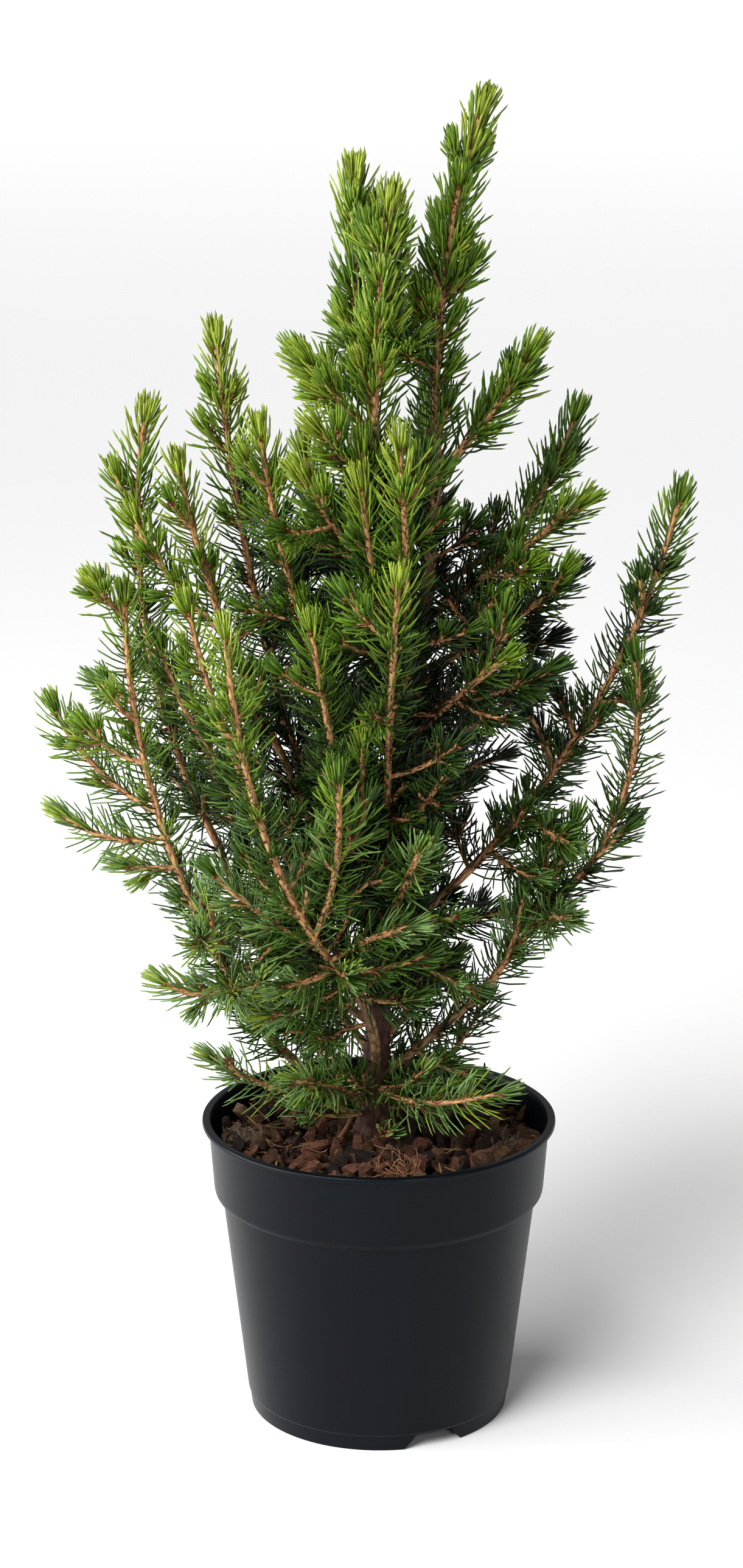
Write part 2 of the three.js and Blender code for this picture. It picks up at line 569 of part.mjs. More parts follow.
function chipSolid(i, edge, random) {
  const [length, width, thickness] = CHIP_SIZE;
  const size = 0.7 + 0.5 * random();
  const chip = new THREE.BoxGeometry(length * size, width * size, thickness * size);
  chip.rotateY(CHIP_TILT * (random() - 0.5));
  chip.rotateX(CHIP_TILT * (random() - 0.5));
  chip.rotateZ(Math.PI * random());
  const azimuth = (GOLDEN_ANGLE / RADIANS) * i;
  const inner = MOUND_RADIUS + 9;
  const outer = edge - length * 0.65;
  const reach = Math.sqrt(inner ** 2 + (outer ** 2 - inner ** 2) * ((i + 0.5) / CHIPS));
  const place = polar(azimuth, reach, MULCH_TOP + 0.5);
  chip.translate(place.x, place.y, place.z);
  return solidOf(chip);
}

// The trunk has a lobed root flare and a flat cut where it stands on the mulch.
function trunkSolid(s) {
  return limbSolid(s, 0).trimByPlane([0, 0, 1], GROUND + GAP);
}

// True if every edge has just two faces. Sprays that cross can leave one with four.
function isClean(solid) {
  const { vertProperties, triVerts } = solid.getMesh();
  const key = (v) => Array.from(vertProperties.subarray(v * 3, v * 3 + 3), (x) => x.toFixed(3)).join();
  const faces = new Map();
  for (let i = 0; i < triVerts.length; i += 3) {
    const corners = [0, 1, 2].map((k) => key(triVerts[i + k]));
    if (new Set(corners).size < 3) continue;
    corners.forEach((corner, k) => {
      const edge = [corner, corners[(k + 1) % 3]].sort().join(" ");
      faces.set(edge, (faces.get(edge) ?? 0) + 1);
    });
  }
  return [...faces.values()].every((count) => count === 2);
}

// All the stems of a mass as one solid, cut clear of the limbs at its foot. It is grown again from
// another seed, with stems a little thicker, if it isn't clean or touches a piece that is there already.
function massSolid(name, seed, clearOfLimbs, there) {
  const own = [...strands.values()].filter((s) => s.owner === name);
  for (let tried = 0; tried < MOST_TRIES; tried++) {
    const swell = 1 + TRY_SWELL * tried;
    const parts = own.map((s, i) => needledSolid(s, seed + TRY_SEEDS * tried + i, swell));
    const mass = clearOfLimbs(parts.reduce((a, b) => a.add(b)));
    if (isClean(mass) && there.every((piece) => piece.intersect(mass).isEmpty())) return mass;
  }
  throw new Error(name + " touches another piece, or has an edge with four faces");
}

// Grows the plant: first every strand, so that each keeps its own space, then the solids.
function plant(group, materials) {
  const trunk = trunkStrand();
  const limbs = limbStrands();
  const stems = stemStrands();
  sideShootStrands();
  stems.forEach((stem, i) => twigStrands(stem, MASS_SEEDS * (i + 1)));
  const placed = [];
  const there = [];
  const place = (s, solid, material) => {
    addMesh(group, s.name, solid, material);
    placed.push(s);
    there.push(solid);
  };
  const clearOf = (solid, s) => {
    const near = placed.filter((p) => p.name === s.from || p.from === s.from);
    return largest(near.reduce((left, p) => left.subtract(limbSolid(p, GAP)), solid));
  };
  place(trunk, trunkSolid(trunk), materials.bark);
  limbs.forEach((limb) => place(limb, clearOf(limbSolid(limb, 0), limb), materials.bark));
  stems.forEach((stem, i) => {
    const mass = massSolid(stem.name, MASS_SEEDS * (i + 1), (solid) => clearOf(solid, stem), there);
    place(stem, mass, materials.foliage);
  });
}

const materials = {
  plastic: new THREE.MeshStandardMaterial({ color: 0x23272c, roughness: 0.45, metalness: 0 }),
  mulch: new THREE.MeshStandardMaterial({ color: 0x4a3028, roughness: 0.95, metalness: 0 }),
  bark: new THREE.MeshStandardMaterial({ color: 0x8a6242, roughness: 0.9, metalness: 0 }),
  foliage: new THREE.MeshStandardMaterial({ color: 0x4a7a2c, roughness: 0.6, metalness: 0 }),
};

const spruce = new THREE.Group();
addMesh(spruce, "pot", potSolid(), materials.plastic);
addMesh(spruce, "mulch", mulchSolid(), materials.mulch);
plant(spruce, materials);

export default spruce;
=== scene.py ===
"""The finish of a potted dwarf Alberta spruce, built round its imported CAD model.

The tables and the growing rule are in millimetres and degrees, and what is made from them is in metres.
The origin is the middle of the pot's flat underside, +Z is up and the front is -Y. Every mass of foliage
grows on from its limb by the source's rule, then by finer shoots, and carries its needles one by one.
"""

import functools
import math

import bmesh
import bpy
import numpy as np
from mathutils import Matrix, Vector, noise


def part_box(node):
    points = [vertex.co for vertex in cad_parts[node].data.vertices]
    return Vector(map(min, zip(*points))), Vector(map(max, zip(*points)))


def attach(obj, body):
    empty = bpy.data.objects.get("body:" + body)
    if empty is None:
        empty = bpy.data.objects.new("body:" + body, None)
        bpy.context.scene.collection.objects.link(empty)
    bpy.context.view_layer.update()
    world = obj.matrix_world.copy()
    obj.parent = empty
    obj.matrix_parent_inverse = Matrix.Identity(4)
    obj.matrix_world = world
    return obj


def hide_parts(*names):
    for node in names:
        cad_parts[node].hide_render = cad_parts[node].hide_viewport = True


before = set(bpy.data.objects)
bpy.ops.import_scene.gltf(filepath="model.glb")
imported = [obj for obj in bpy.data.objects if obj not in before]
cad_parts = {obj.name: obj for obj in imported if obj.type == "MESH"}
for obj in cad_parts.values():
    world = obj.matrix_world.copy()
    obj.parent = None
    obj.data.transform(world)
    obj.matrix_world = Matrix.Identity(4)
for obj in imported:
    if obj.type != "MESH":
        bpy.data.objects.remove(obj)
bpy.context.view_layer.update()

bl_info = {
    "name": "Potted Dwarf Spruce",
    "version": (1, 0, 0),
    "blender": (4, 5, 0),
    "location": "3D Viewport > Sidebar > Spruce",
    "description": "Bark, needles, pot and mulch for a small many-stemmed spruce",
    "category": "Object",
}

MM = 0.001
RADIANS = math.pi / 180
GOLDEN_ANGLE = 137.5 * RADIANS
ACROSS = np.array([1.0, 0.0, 0.0])
UP = np.array([0.0, 0.0, 1.0])
BODY = "root"
GRAIN = "grain"  # a point's place on its own stem: across, across and along
GRAIN_SHIFT = 37  # mm from one stem's grain to the next one's
FOLIAGE_NODES = sorted(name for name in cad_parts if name.startswith("foliage_"))
LIMB_NODES = sorted(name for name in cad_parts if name.startswith(("leader_", "bough_")))
POT_LOW, POT_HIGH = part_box("pot")
PIECE_TRIANGLES = 190000  # most in one piece
SEEDS = {  # of the rules that leave something to chance
    "inner": 300, "sprig": 900, "needle": 7000, "bud": 31, "form": 5, "chip": 17, "crumb": 23, "dead": 29,
}

# Pot and ground, in mm
RIM_RADIUS = (POT_HIGH.x - POT_LOW.x) / 2 / MM
POT_HEIGHT = POT_HIGH.z / MM
GROUND = 104  # top of the mulch at the trunk
MULCH_TOP = 102  # and elsewhere
WALL = 1.2
COLLAR_BOTTOM = 83.5
COLLAR_LOW_RADIUS = 60.8
COLLAR_TOP_RADIUS = 62.6
POT_INSIDE = COLLAR_LOW_RADIUS - WALL
BODY_TOP_RADIUS = 57.8
BODY_LOW_RADIUS = 48.8
FOOT_RADIUS = 47.6
FOOT_HEIGHT = 6.2
FOOT_WALL = 2
PAD_RADIUS = 14
POT_SIDES = 160
POT_CREASE = 24
NOTCHES = 3
NOTCH_AZIMUTH = 295
NOTCH_WIDTH = 23
NOTCH_TOP_WIDTH = 14
NOTCH_HEIGHT = 5.6
NOTCH_DEPTH = 14
MOUND_RADIUS = 15
MULCH_EDGE = POT_INSIDE - 1

# Profiles of the pot and its filling from the axis out and back: reach, height and rounding of a corner
POT_PROFILE = (
    (0, 0, 0),
    (PAD_RADIUS, 0, 0.6),
    (PAD_RADIUS + 1, FOOT_HEIGHT - WALL, 0.6),
    (FOOT_RADIUS - FOOT_WALL - 0.4, FOOT_HEIGHT - WALL, 0.8),
    (FOOT_RADIUS - FOOT_WALL, 0, 0.4),
    (FOOT_RADIUS, 0, 0.5),
    (BODY_LOW_RADIUS - 0.5, FOOT_HEIGHT - 0.3, 0.25),
    (BODY_LOW_RADIUS, FOOT_HEIGHT + 0.3, 0.3),
    (BODY_TOP_RADIUS, COLLAR_BOTTOM - 0.7, 0.8),
    (COLLAR_LOW_RADIUS - 1.9, COLLAR_BOTTOM - 0.1, 0.5),
    (COLLAR_LOW_RADIUS - 0.2, COLLAR_BOTTOM + 0.5, 2.2),
    (COLLAR_TOP_RADIUS, POT_HEIGHT - 2.2, 0.5),
    (RIM_RADIUS, POT_HEIGHT - 2.0, 0.7),
    (RIM_RADIUS - 0.1, POT_HEIGHT, 0.9),
    (COLLAR_TOP_RADIUS - WALL + 0.7, POT_HEIGHT - 0.1, 0.5),
    (COLLAR_TOP_RADIUS - WALL + 0.1, POT_HEIGHT - 1.8, 0.5),
    (POT_INSIDE, COLLAR_BOTTOM + 3, 1),
    (BODY_TOP_RADIUS - WALL, COLLAR_BOTTOM - 0.5, 1),
    (BODY_LOW_RADIUS - WALL, FOOT_HEIGHT, 1.5),
    (0, FOOT_HEIGHT, 0),
)
MULCH_PROFILE = (
    (0, FOOT_HEIGHT + 0.3, 0),
    (BODY_LOW_RADIUS - WALL - 1.4, FOOT_HEIGHT + 0.3, 1),
    (BODY_TOP_RADIUS - WALL - 0.8, COLLAR_BOTTOM - 1, 1),
    (MULCH_EDGE, COLLAR_BOTTOM + 3, 1),
    (MULCH_EDGE, MULCH_TOP - 2, 1),
    *((reach, MULCH_TOP, 0) for reach in range(54, 17, -4)),
    (MOUND_RADIUS, GROUND - 0.4, 0),
    *((reach, GROUND, 0) for reach in (11, 7, 3, 0)),
)

# The plant's limbs and stems, as in the source
FORK_HEIGHT = 216
POT_CLEARANCE = 1.5
MULCH_HEADROOM = 7
TWIG_CLEARANCE = 4
MASS_SEEDS = 50
TWIG_ANGLE = 34
TWIG_LENGTH = 13
STEM_RADIUS = (1.5, 0.9)
SIDE_SHOOT_RADIUS = (1.1, 0.9)
SMALL_SHOOT_RADIUS = (0.95, 0.75)
SMALL_SHOOT_BARE = 0.12
TWIG_RADIUS = (1, 0.8)
TWIG_BOW = 1
TWIG_BARE = 0.15
LAST_TWIG = 0.88
TRUNK_FOOT = (-2.5, 0)
TRUNK_FORK = (4, 4)
TRUNK_RADIUS = (5.2, 3.4)
TRUNK_BEND = (-0.8, -0.5)
TRUNK_SUNK = 4
ROOT_FLARE = 3.6
ROOT_LOBES = 4
SPACE_STEP = 2.5  # mm from one mark of a strand's space to the next
PROBES = (0.4, 0.6, 0.8, 1)  # shares of a shoot's length where its room is tested
THICKEST = 10.5  # mm, more than the radius of any strand

# Each limb: name, the limb it leaves and how far along it, the azimuth, reach and height of its end,
# bow and sway, its radius at root and end, and the share of it that has no needles.
LIMBS = (
    ("leader_right", "trunk", 1, 21, 22, 356, 3, 2, 2.9, 2.2, 0.12),
    ("leader_left", "trunk", 1, 263, 15, 370, 0, 3, 2.9, 2.2, 0.12),
    ("bough_front", "trunk", 0.25, 246, 33, 176, -3, 3, 2.8, 2.4, 0.7),
    ("bough_left", "trunk", 0.14, 197, 51, 162, 6, 0, 2.8, 2.2, 0.35),
    ("bough_right_upper", "trunk", 0.6, 10, 27, 198, -1, 1, 2.4, 2.0, 0.1),
    ("bough_right_lower", "trunk", 0.22, 0, 39, 161, 1, 0, 2.5, 2.0, 0.05),
    ("bough_left_high", "trunk", 0.68, 150, 36, 248, 6, 0, 2.2, 1.7, 0.2),
    ("bough_left_outer", "trunk", 0.4, 168, 60, 212, 9, 0, 2.2, 1.7, 0.2),
    ("bough_left_middle", "trunk", 0.8, 178, 34, 247, 5, 0, 2.1, 1.7, 0.2),
    ("bough_left_low", "trunk", 0.5, 208, 36, 214, 4, 0, 2.1, 1.7, 0.2),
    ("bough_left_inner", "trunk", 0.96, 192, 17, 266, 2, 0, 2.1, 1.7, 0.2),
    ("bough_back_right", "trunk", 0.5, 60, 42, 215, 6, 0, 2.2, 1.7, 0.2),
    ("bough_back", "trunk", 0.75, 104, 36, 236, 5, 0, 2.2, 1.7, 0.2),
    ("bough_back_left", "trunk", 0.3, 138, 46, 184, 6, 0, 2.2, 1.7, 0.2),
    ("bough_back_low", "trunk", 0.16, 84, 42, 158, 6, 0, 2.2, 1.7, 0.2),
)

# Each mass of foliage: name, the limb it grows on and how far along it, the azimuth, reach and height
# of its stem's tip, bow, sway, the share of the stem that is bare at its foot, and its seeded twigs.
MASSES = (
    ("foliage_top_right", "leader_right", 1, 8, 35, 474, -5, -2, 0.02, 7),
    ("foliage_top_left_front", "leader_left", 1, 281, 18, 445, -1, 0, 0.04, 3),
    ("foliage_top_left_back", "leader_left", 0.97, 199, 9, 452, 5, 0, 0.12, 2),
    ("foliage_right_01", "leader_right", 0.95, 0, 52, 392, 2, 1, 0.2, 2),
    ("foliage_right_02", "leader_right", 0.66, 30, 81, 363, 14, 4, 0.2, 3),
    ("foliage_right_03", "leader_right", 0.57, 354, 71, 341, 0, 1, 0.15, 2),
    ("foliage_right_04", "leader_right", 0.44, 20, 73, 309, 4, 2, 0.15, 1),
    ("foliage_right_05", "leader_right", 0.26, 319, 58, 293, 0, -2, 0.15, 1),
    ("foliage_right_06", "leader_right", 0.2, 42, 88, 266, 2, 0, 0.15, 2),
    ("foliage_right_07", "leader_right", 0.12, 50, 72, 234, 1, 2, 0.15, 1),
    ("foliage_right_upper", "bough_right_upper", 1, 3, 106, 340, 12, 3, 0.05, 3),
    ("foliage_right_lower", "bough_right_lower", 1, 357, 89, 223, -2, 0, 0.04, 2),
    ("foliage_low_right", "trunk", 0.2, 318, 59, 135, 3, -8, 0.2, 0),
    ("foliage_low_back_right", "trunk", 0.17, 37, 49, 146, 9, 0, 0.3, 0),
    ("foliage_inner_right", "trunk", 0.33, 50, 40, 160, 1, 0, 0.3, 0),
    ("foliage_left", "bough_left", 1, 193, 91, 309, 10, 0, 0.04, 3),
    ("foliage_left_outer", "bough_left_outer", 1, 174, 83, 368, 12, -2, 0.06, 3),
    ("foliage_left_high", "bough_left_high", 1, 168, 58, 394, 3, -4, 0.05, 3),
    ("foliage_left_middle", "bough_left_middle", 1, 182, 70, 352, 4, 0, 0.05, 3),
    ("foliage_left_low", "bough_left_low", 1, 206, 73, 308, 5, 2, 0.05, 1),
    ("foliage_left_inner", "bough_left_inner", 1, 191, 42, 365, 3, 0, 0.04, 3),
    ("foliage_front_left", "trunk", 0.62, 237, 43, 302, 9, 5, 0.12, 2),
    ("foliage_front_high", "leader_left", 0.2, 282, 33, 365, 9, 3, 0.1, 2),
    ("foliage_front", "trunk", 0.82, 277, 52, 321, 10, -2, 0.1, 2),
    ("foliage_front_inner", "leader_left", 0.36, 257, 29, 351, 4, 2, 0.12, 2),
    ("foliage_left_01", "leader_left", 0.97, 213, 29, 391, 0, 0, 0.15, 2),
    ("foliage_left_02", "leader_left", 0.83, 232, 33, 370, 0, 0, 0.15, 1),
    ("foliage_left_03", "leader_left", 0.6, 215, 32, 352, 1, 0, 0.15, 1),
    ("foliage_front_bough", "bough_front", 1, 229, 79, 305, 14, 6, 0.03, 3),
    ("foliage_front_right", "trunk", 0.62, 283, 63, 231, 1, -2, 0.1, 1),
    ("foliage_front_low", "trunk", 0.48, 297, 41, 186, -2, -2, 0.2, 1),
    ("foliage_back_lower_right", "trunk", 0.64, 36, 56, 180, 0, 2, 0.2, 1),
    ("foliage_low_front", "trunk", 0.13, 234, 53, 140, -3, 0, 0.35, 0),
    ("foliage_low_left", "trunk", 0.1, 194, 62, 139, 3, 0, 0.35, 1),
    ("foliage_back_right", "bough_back_right", 1, 60, 84, 296, 9, 0, 0.04, 3),
    ("foliage_back", "bough_back", 1, 102, 80, 322, 8, 0, 0.04, 3),
    ("foliage_back_left", "bough_back_left", 1, 138, 98, 270, 10, 0, 0.04, 3),
    ("foliage_back_low", "bough_back_low", 1, 80, 97, 228, 9, 0, 0.04, 3),
    ("foliage_back_high_right", "leader_right", 0.55, 68, 46, 368, 5, 0, 0.1, 2),
    ("foliage_back_high_left", "leader_left", 0.4, 132, 40, 352, 5, 0, 0.1, 2),
    ("foliage_low_back_left", "trunk", 0.12, 124, 62, 146, 3, 0, 0.25, 1),
)

# Side shoots that are part of a mass: the mass and how far along its stem, then as above.
SIDE_SHOOTS = (
    ("foliage_right_04", 0.25, 340, 44, 309, 0, -2, 0.1),
    ("foliage_right_upper", 0.34, 7, 54, 262, -1, 0, 0.1),
    ("foliage_right_upper", 0.43, 5, 65, 268, 0, 0, 0.1),
    ("foliage_right_upper", 0.52, 4, 92, 272, 2, 0, 0.1),
    ("foliage_right_upper", 0.22, 340, 72, 222, 0, 0, 0.1),
    ("foliage_right_upper", 0.3, 28, 78, 240, 0, 0, 0.1),
    ("foliage_right_lower", 0.8, 357, 91, 285, 6, 0, 0.08),
    ("foliage_right_lower", 0.35, 353, 61, 223, 1, 1, 0.1),
    ("foliage_right_lower", 0.38, 334, 75, 198, -1, 0, 0.1),
    ("foliage_left", 0.04, 191, 79, 168, 4, 0, 0.15),
    ("foliage_left", 0.36, 193, 92, 214, 1, 0, 0.1),
    ("foliage_left", 0.44, 183, 113, 228, 5, 0, 0.1),
    ("foliage_left", 0.5, 184, 115, 267, 6, -3, 0.1),
    ("foliage_left", 0.77, 182, 99, 276, 1, -1, 0.1),
    ("foliage_left", 0.96, 194, 101, 315, 0, 0, 0.1),
    ("foliage_left_low", 0.18, 189, 78, 291, 4, 2, 0.1),
    ("foliage_left_middle", 0.45, 178, 86, 333, 3, 0, 0.15),
    ("foliage_front_inner", 0.4, 255, 22, 363, 1, 0, 0.1),
    ("foliage_left_03", 0.3, 184, 28, 328, -1, 0, 0.15),
    ("foliage_front_bough", 0.16, 257, 64, 256, 5, 2, 0.08),
    ("foliage_front_bough", 0.03, 233, 58, 176, 1, 0, 0.1),
    ("foliage_front_bough", 0.06, 284, 51, 200, -2, -2, 0.1),
    ("foliage_front", 0.22, 300, 46, 252, 1, 0, 0.1),
    ("foliage_back_right", 0.3, 76, 74, 252, 3, 0, 0.1),
    ("foliage_back", 0.3, 122, 66, 286, 3, 0, 0.1),
    ("foliage_back_left", 0.35, 156, 88, 238, 3, 0, 0.1),
    ("foliage_back_low", 0.3, 106, 84, 196, 3, 0, 0.1),
)

# Small shoots that the source leaves to this script: the strand each leaves and how far along it, the
# azimuth, reach and height of its tip, and its bow
SMALL_SHOOTS = (
    ("trunk", 0.1, 281, 24, 113, 3),
    ("trunk", 0.17, 240, 22, 136, 2),
    ("trunk", 0.13, 335, 31, 127, 3),
    ("trunk", 0.12, 215, 34, 122, 3),
    ("trunk", 0.2, 300, 33, 140, 3),
    ("bough_right_lower", 0.35, 336, 36, 133, 2),
    ("bough_left", 0.4, 232, 37, 136, 3),
    ("bough_left", 0.8, 212, 50, 160, 2),
    ("bough_front", 0.7, 224, 41, 165, 2),
    ("foliage_right_lower", 0.1, 354, 52, 197, 2),
    ("foliage_left", 0.62, 191, 105, 264, 2),
    ("foliage_left", 0.08, 226, 72, 176, 2),
    ("foliage_left", 0.16, 216, 78, 196, 2),
    ("foliage_left", 0.2, 172, 74, 203, 2),
    ("foliage_front_bough", 0.02, 204, 56, 190, 2),
    ("foliage_left", 0.03, 229, 62, 180, 2),
    ("bough_front", 0.9, 226, 56, 164, 2),
    ("bough_left", 0.75, 183, 62, 184, 2),
    ("foliage_left", 0.1, 205, 66, 202, 2),
    ("foliage_front_bough", 0.04, 258, 52, 184, 2),
    ("bough_front", 0.45, 212, 40, 152, 2),
    ("bough_front", 0.75, 292, 34, 168, 2),
    ("foliage_front_bough", 0.1, 214, 70, 216, 2),
    ("foliage_right_04", 0.45, 350, 66, 318, 2),
    ("foliage_right_04", 0.3, 12, 62, 288, 2),
    ("foliage_right_05", 0.5, 344, 62, 284, 2),
    ("foliage_right_03", 0.4, 340, 56, 322, 2),
    ("foliage_right_lower", 0.25, 352, 70, 226, 2),
    ("foliage_right_upper", 0.12, 348, 58, 206, 2),
    ("foliage_front_inner", 0.2, 232, 30, 300, 2),
    ("foliage_front_left", 0.35, 262, 40, 262, 2),
    ("trunk", 0.86, 172, 36, 262, 2),
    ("leader_left", 0.08, 196, 27, 304, 2),
    ("leader_left", 0.02, 212, 22, 278, 2),
)

# Finer growth than the source's: inner shoots that fill the crown's core, and short sprigs in whorls at
# the nodes of every stem
INNER_STEP = {"trunk": 8, "limb": 10, "stem": 13, "side": 16}  # mm from one to the next
INNER_LOWEST = 142  # lowest foot of one
LAST_INNER = 0.85
INNER_LENGTH = (16, 34)
INNER_ANGLE = 56
INNER_WHIM = 12  # how far that angle strays
INNER_BOW = 0.06  # as a share of the length
INNER_RADIUS = (0.8, 0.6)
INNER_BARE = 0.12
INNER_CLEARANCE = 4.2
CORE = ((104, 150, 200, 250, 300, 350, 400, 450), (40, 50, 62, 66, 57, 40, 24, 8))  # heights, reaches
CORE_SHRINK = 0.9  # how much less far the core reaches for each mm away from the light
SPRIG_STEP = {"limb": 13, "stem": 21, "side": 19, "twig": 30, "inner": 24}
LEADING_STEP = 0.7  # the same on the topmost stems, as a share
LAST_SPRIG = 0.9
SPRIG_LENGTH = (3.5, 8.5)
SPRIG_ANGLE = 42
SPRIG_WHIM = 9
SPRIG_BOW = 0.5
SPRIG_RADIUS = (0.62, 0.5)
SPRIG_CLEARANCE = 1.2
HIGH_SPRIGS = (300, 100)  # height where sprigs start to grow steeper and longer, and the rise it takes
HIGH_SPRIG_STEEPER = 10
HIGH_SPRIG_LONGER = 0.7

# Tables by height, here and below, hold heights and then the values there. This one is the girth of the
# drawn wood as a share of the source's tubes.
STEM_GIRTH = ((130, 180), (0.72, 0.98))
GIRTH = {"stem": STEM_GIRTH, "side": STEM_GIRTH, "limb": ((170, 260), (0.72, 1))}
BARK_GRAIN = 1.1  # mm, about the width of a flake
BUD_RING_STEP = 31  # mm between the rings that past buds left
PEG_RUN = 3.2  # how far a peg's ridge runs down the stem
PEG_CAP = 0.5  # and up it
PEG_WIDTH = 0.5

# How finely tubes are drawn: their sides, and mm from one ring to the next
TRUNK_MESH = (40, 1)
BOUGH_MESH = (20, 1.4)
STEM_MESH = (10, 1.2)
SHOOT_MESH = (6, 1.8)
SPLINTER_MESH = (6, 2)
TWIG_MESH = (8, 1)
FIBRE_MESH = (5, 1.2)
MOSS_MESH = (4, 1.6)

# Pieces of young wood, with the kinds of strand that they join
YOUNG_WOOD = (
    ("young_stems", ("stem", "side", "twig"), STEM_MESH),
    ("inner_shoots", ("inner",), SHOOT_MESH),
    ("sprigs", ("sprig",), SHOOT_MESH),
)

# Where needles stand, and how long, steep and bent they are
SPARSENESS = {  # stretch of stem for each needle, against the spacing that is set
    "trunk": 3.2, "limb": 1.1, "stem": 1, "side": 1.05, "twig": 1.1, "inner": 1.25, "sprig": 1.15,
}
SPARSE_FOOT = ((122, 165), (1.5, 1))
SPARSE_BY_HEIGHT = ((200, 240, 330, 390), (0.85, 1, 1, 0.86))
SPARSE_IN_LIGHT = ((60, 85), (1, 1.15))  # by the distance toward the light
SITE_WHIM = 1.2  # how far a needle strays along the stem, in steps from one to the next
ANGLE_WHIM = 0.45  # and round it, in radians
TUFT_SHARE = {"trunk": 0, "limb": 0, "twig": 0.6, "inner": 0.6, "sprig": 0.35}
TUFT_BY_HEIGHT = ((120, 210, 400, 470), (0.35, 1, 1, 1.8))
TUFT_DEPTH = 1.6  # mm of stem that carries the tuft
TUFT_LENGTH = 22  # mm of stem over which the needles close up towards its tip
TUFT_SPREAD = (0.1, 1.8)  # least and most of the square of a tuft needle's lean, against the one set
LEADING_FROM = (280, 130)  # height where shoots start to lead upwards, and the rise it takes
LEADING_LONGER = 0.2
LEADING_THICKER = 0.22
STEEP_BY_TIP = ((25, 70), (1.8, 0.8))  # by the distance from the tip
LEAN_WHIM = 8 * RADIANS
LIFT_BY_HEIGHT = ((125, 190), (-0.3, 0.2))  # how much needles on level shoots rise, or sag
BEND_BY_HEIGHT = ((120, 190), (1.3, 1))
SHORT_BY_TIP = ((0, 0.5), (0.74, 1))  # by the share of the tuft's length
NEEDLE_SHARE = {"twig": 0.86, "inner": 0.9, "sprig": 0.72}  # length of the needles on lesser shoots
NEEDLE_LENGTHS = (0.76, 1.1)
NEEDLE_WIDTHS = (0.85, 1.12)
NEEDLE_BENDS = (0.12, 0.38)
NEEDLE_ROOT = 0.7  # how far out its foot stands, as a share of the stem's radius
NEEDLE_CLEARANCE = 0.35
NEEDLE_HEADROOM = 3.5  # mm more than shoots that needles keep above the mulch and the rim

# Which green a needle takes. The greens are lit and shaded tones of one needle green, so they are painted
# light and painted shade, besides fresher tips and older, greyer needles. A score adds up light, height,
# shelter, freshness and whim.
NEEDLE_COLOURS = ("fresh", "light", "middle", "deep", "shaded", "old")
SCORE_LIMITS = (1.02, 0.64, 0.36, 0.12)  # the scores that part one colour from the next
SCORE_START = 0.38
SCORE_LIGHT = 0.27
SCORE_SHELTER = 0.9
SCORE_FRESH = 0.54
# Painted shade: needles on thick wood and inner shoots stand inside the crown, so their score is lowered
PAINTED_SHADE_INSIDE = 0.1  # taken off on thick wood and inner shoots
# Painted light: needles low down and near the top score lighter, for the light that falls there
PAINTED_LIGHT_BY_HEIGHT = ((110, 165, 220, 300, 400, 480), (0.38, 0.36, 0.18, 0.12, 0.29, 0.27))
FRESH_BY_HEIGHT = ((180, 270, 320, 400, 460), (0.2, 0.35, 0.85, 0.85, 1.1))
# Painted shade: how much the shelter darkens needles at each height
SHELTER_BY_HEIGHT = ((140, 210, 260, 320, 370), (0.5, 0.85, 1.3, 1.2, 0.1))
LESSER_FRESH = 0.35  # freshness of the tips of twigs, inner shoots and sprigs
FRESH_LENGTH = 38  # mm of stem, from its tip, whose needles are fresher
SPRAY_LENGTH = 9  # mm of stem whose needles take one colour
SPRAY_WHIM = 0.13
NEEDLE_WHIM = 0.12
# Old needles are really greyer; their green is also made paler as painted light low down
OLD_BELOW = 235  # mm, about the height under which lit needles are old and greyer
OLD_BLUR = 14
TOWARD_LIGHT = np.array([-0.78, -0.5, 0.1])  # how much each millimetre counts towards the light, by axis
LIT_REACH = 110  # mm toward the light that count as one
LIGHT_FROM = np.array([-0.36, -0.6, 0.71])  # the way to the light, one long
SHELTER_NEAR = 4  # mm between a needle and the nearest stem that can shade it
SHELTER_FAR = 45
SHELTER_CONE = 0.8  # cosine of half the angle under which it is looked for
DEEP_SHELTER = 150  # marks of space in that cone where hardly any light gets in

# Buds, by length and thickness, and the scales at the nodes
TIP_BUD = (3.2, 2.1)
SIDE_BUD = (2.5, 1.6)
SIDE_BUD_LEAN = 0.75
SPRIG_BUD = 0.72  # size of the buds on sprigs, as a share
BUD_DEPTH = 0.8  # how far a bud's foot lies behind the tip, and twice that for those beside it
BUD_ASIDE = 0.5
SCALES = 4  # at each node
SCALE_LENGTH = (1.6, 2.6)
SCALE_WIDTH = 1.3
SCALE_LEAN = (0.4, 1.1)
SCALE_STRAY = 1.2

# Mulch. Chips lie in layers: the share of all chips, height, tilt in radians, and the share that is
# brown or dark. The ranges of sizes are shares of a middling chip's length, or of a chip's own.
COMPOST_RELIEF = 1.2
COMPOST_LUMPS = 7  # about the size of one
COMPOST_SUNK = 0.9
COMPOST_SIDES = 96
COMPOST_CREASE = 60
CHIP_LAYERS = ((0.34, 99.8, 0.3, 0.85), (0.36, 102.2, 0.6, 0.7), (0.3, 104.6, 0.9, 0.5))
CHIP_FORMS = 24
CHIP_SHADES = ("red", "brown", "dark", "pale")
CHIPS_FROM = 11  # distance from the axis where chips begin
CHIP_DROP = 0.8  # how far a chip's height strays
CHIP_SIZES = (0.5, 1.35)
CHIP_WIDTHS = (0.34, 0.74)
CHIP_THICKNESSES = (0.2, 0.5)
CHIP_ROUGHNESS = 0.085
CHIP_CREASE = 48
PALE_CHIPS = 0.05  # share of all chips
CRUMBS = 700
CRUMB_HEIGHTS = (101.2, 104.2)
CRUMB_SIZES = (0.9, 3.2)
FALLEN_NEEDLES = 70
FALLEN_HEIGHTS = (104.6, 106.6)

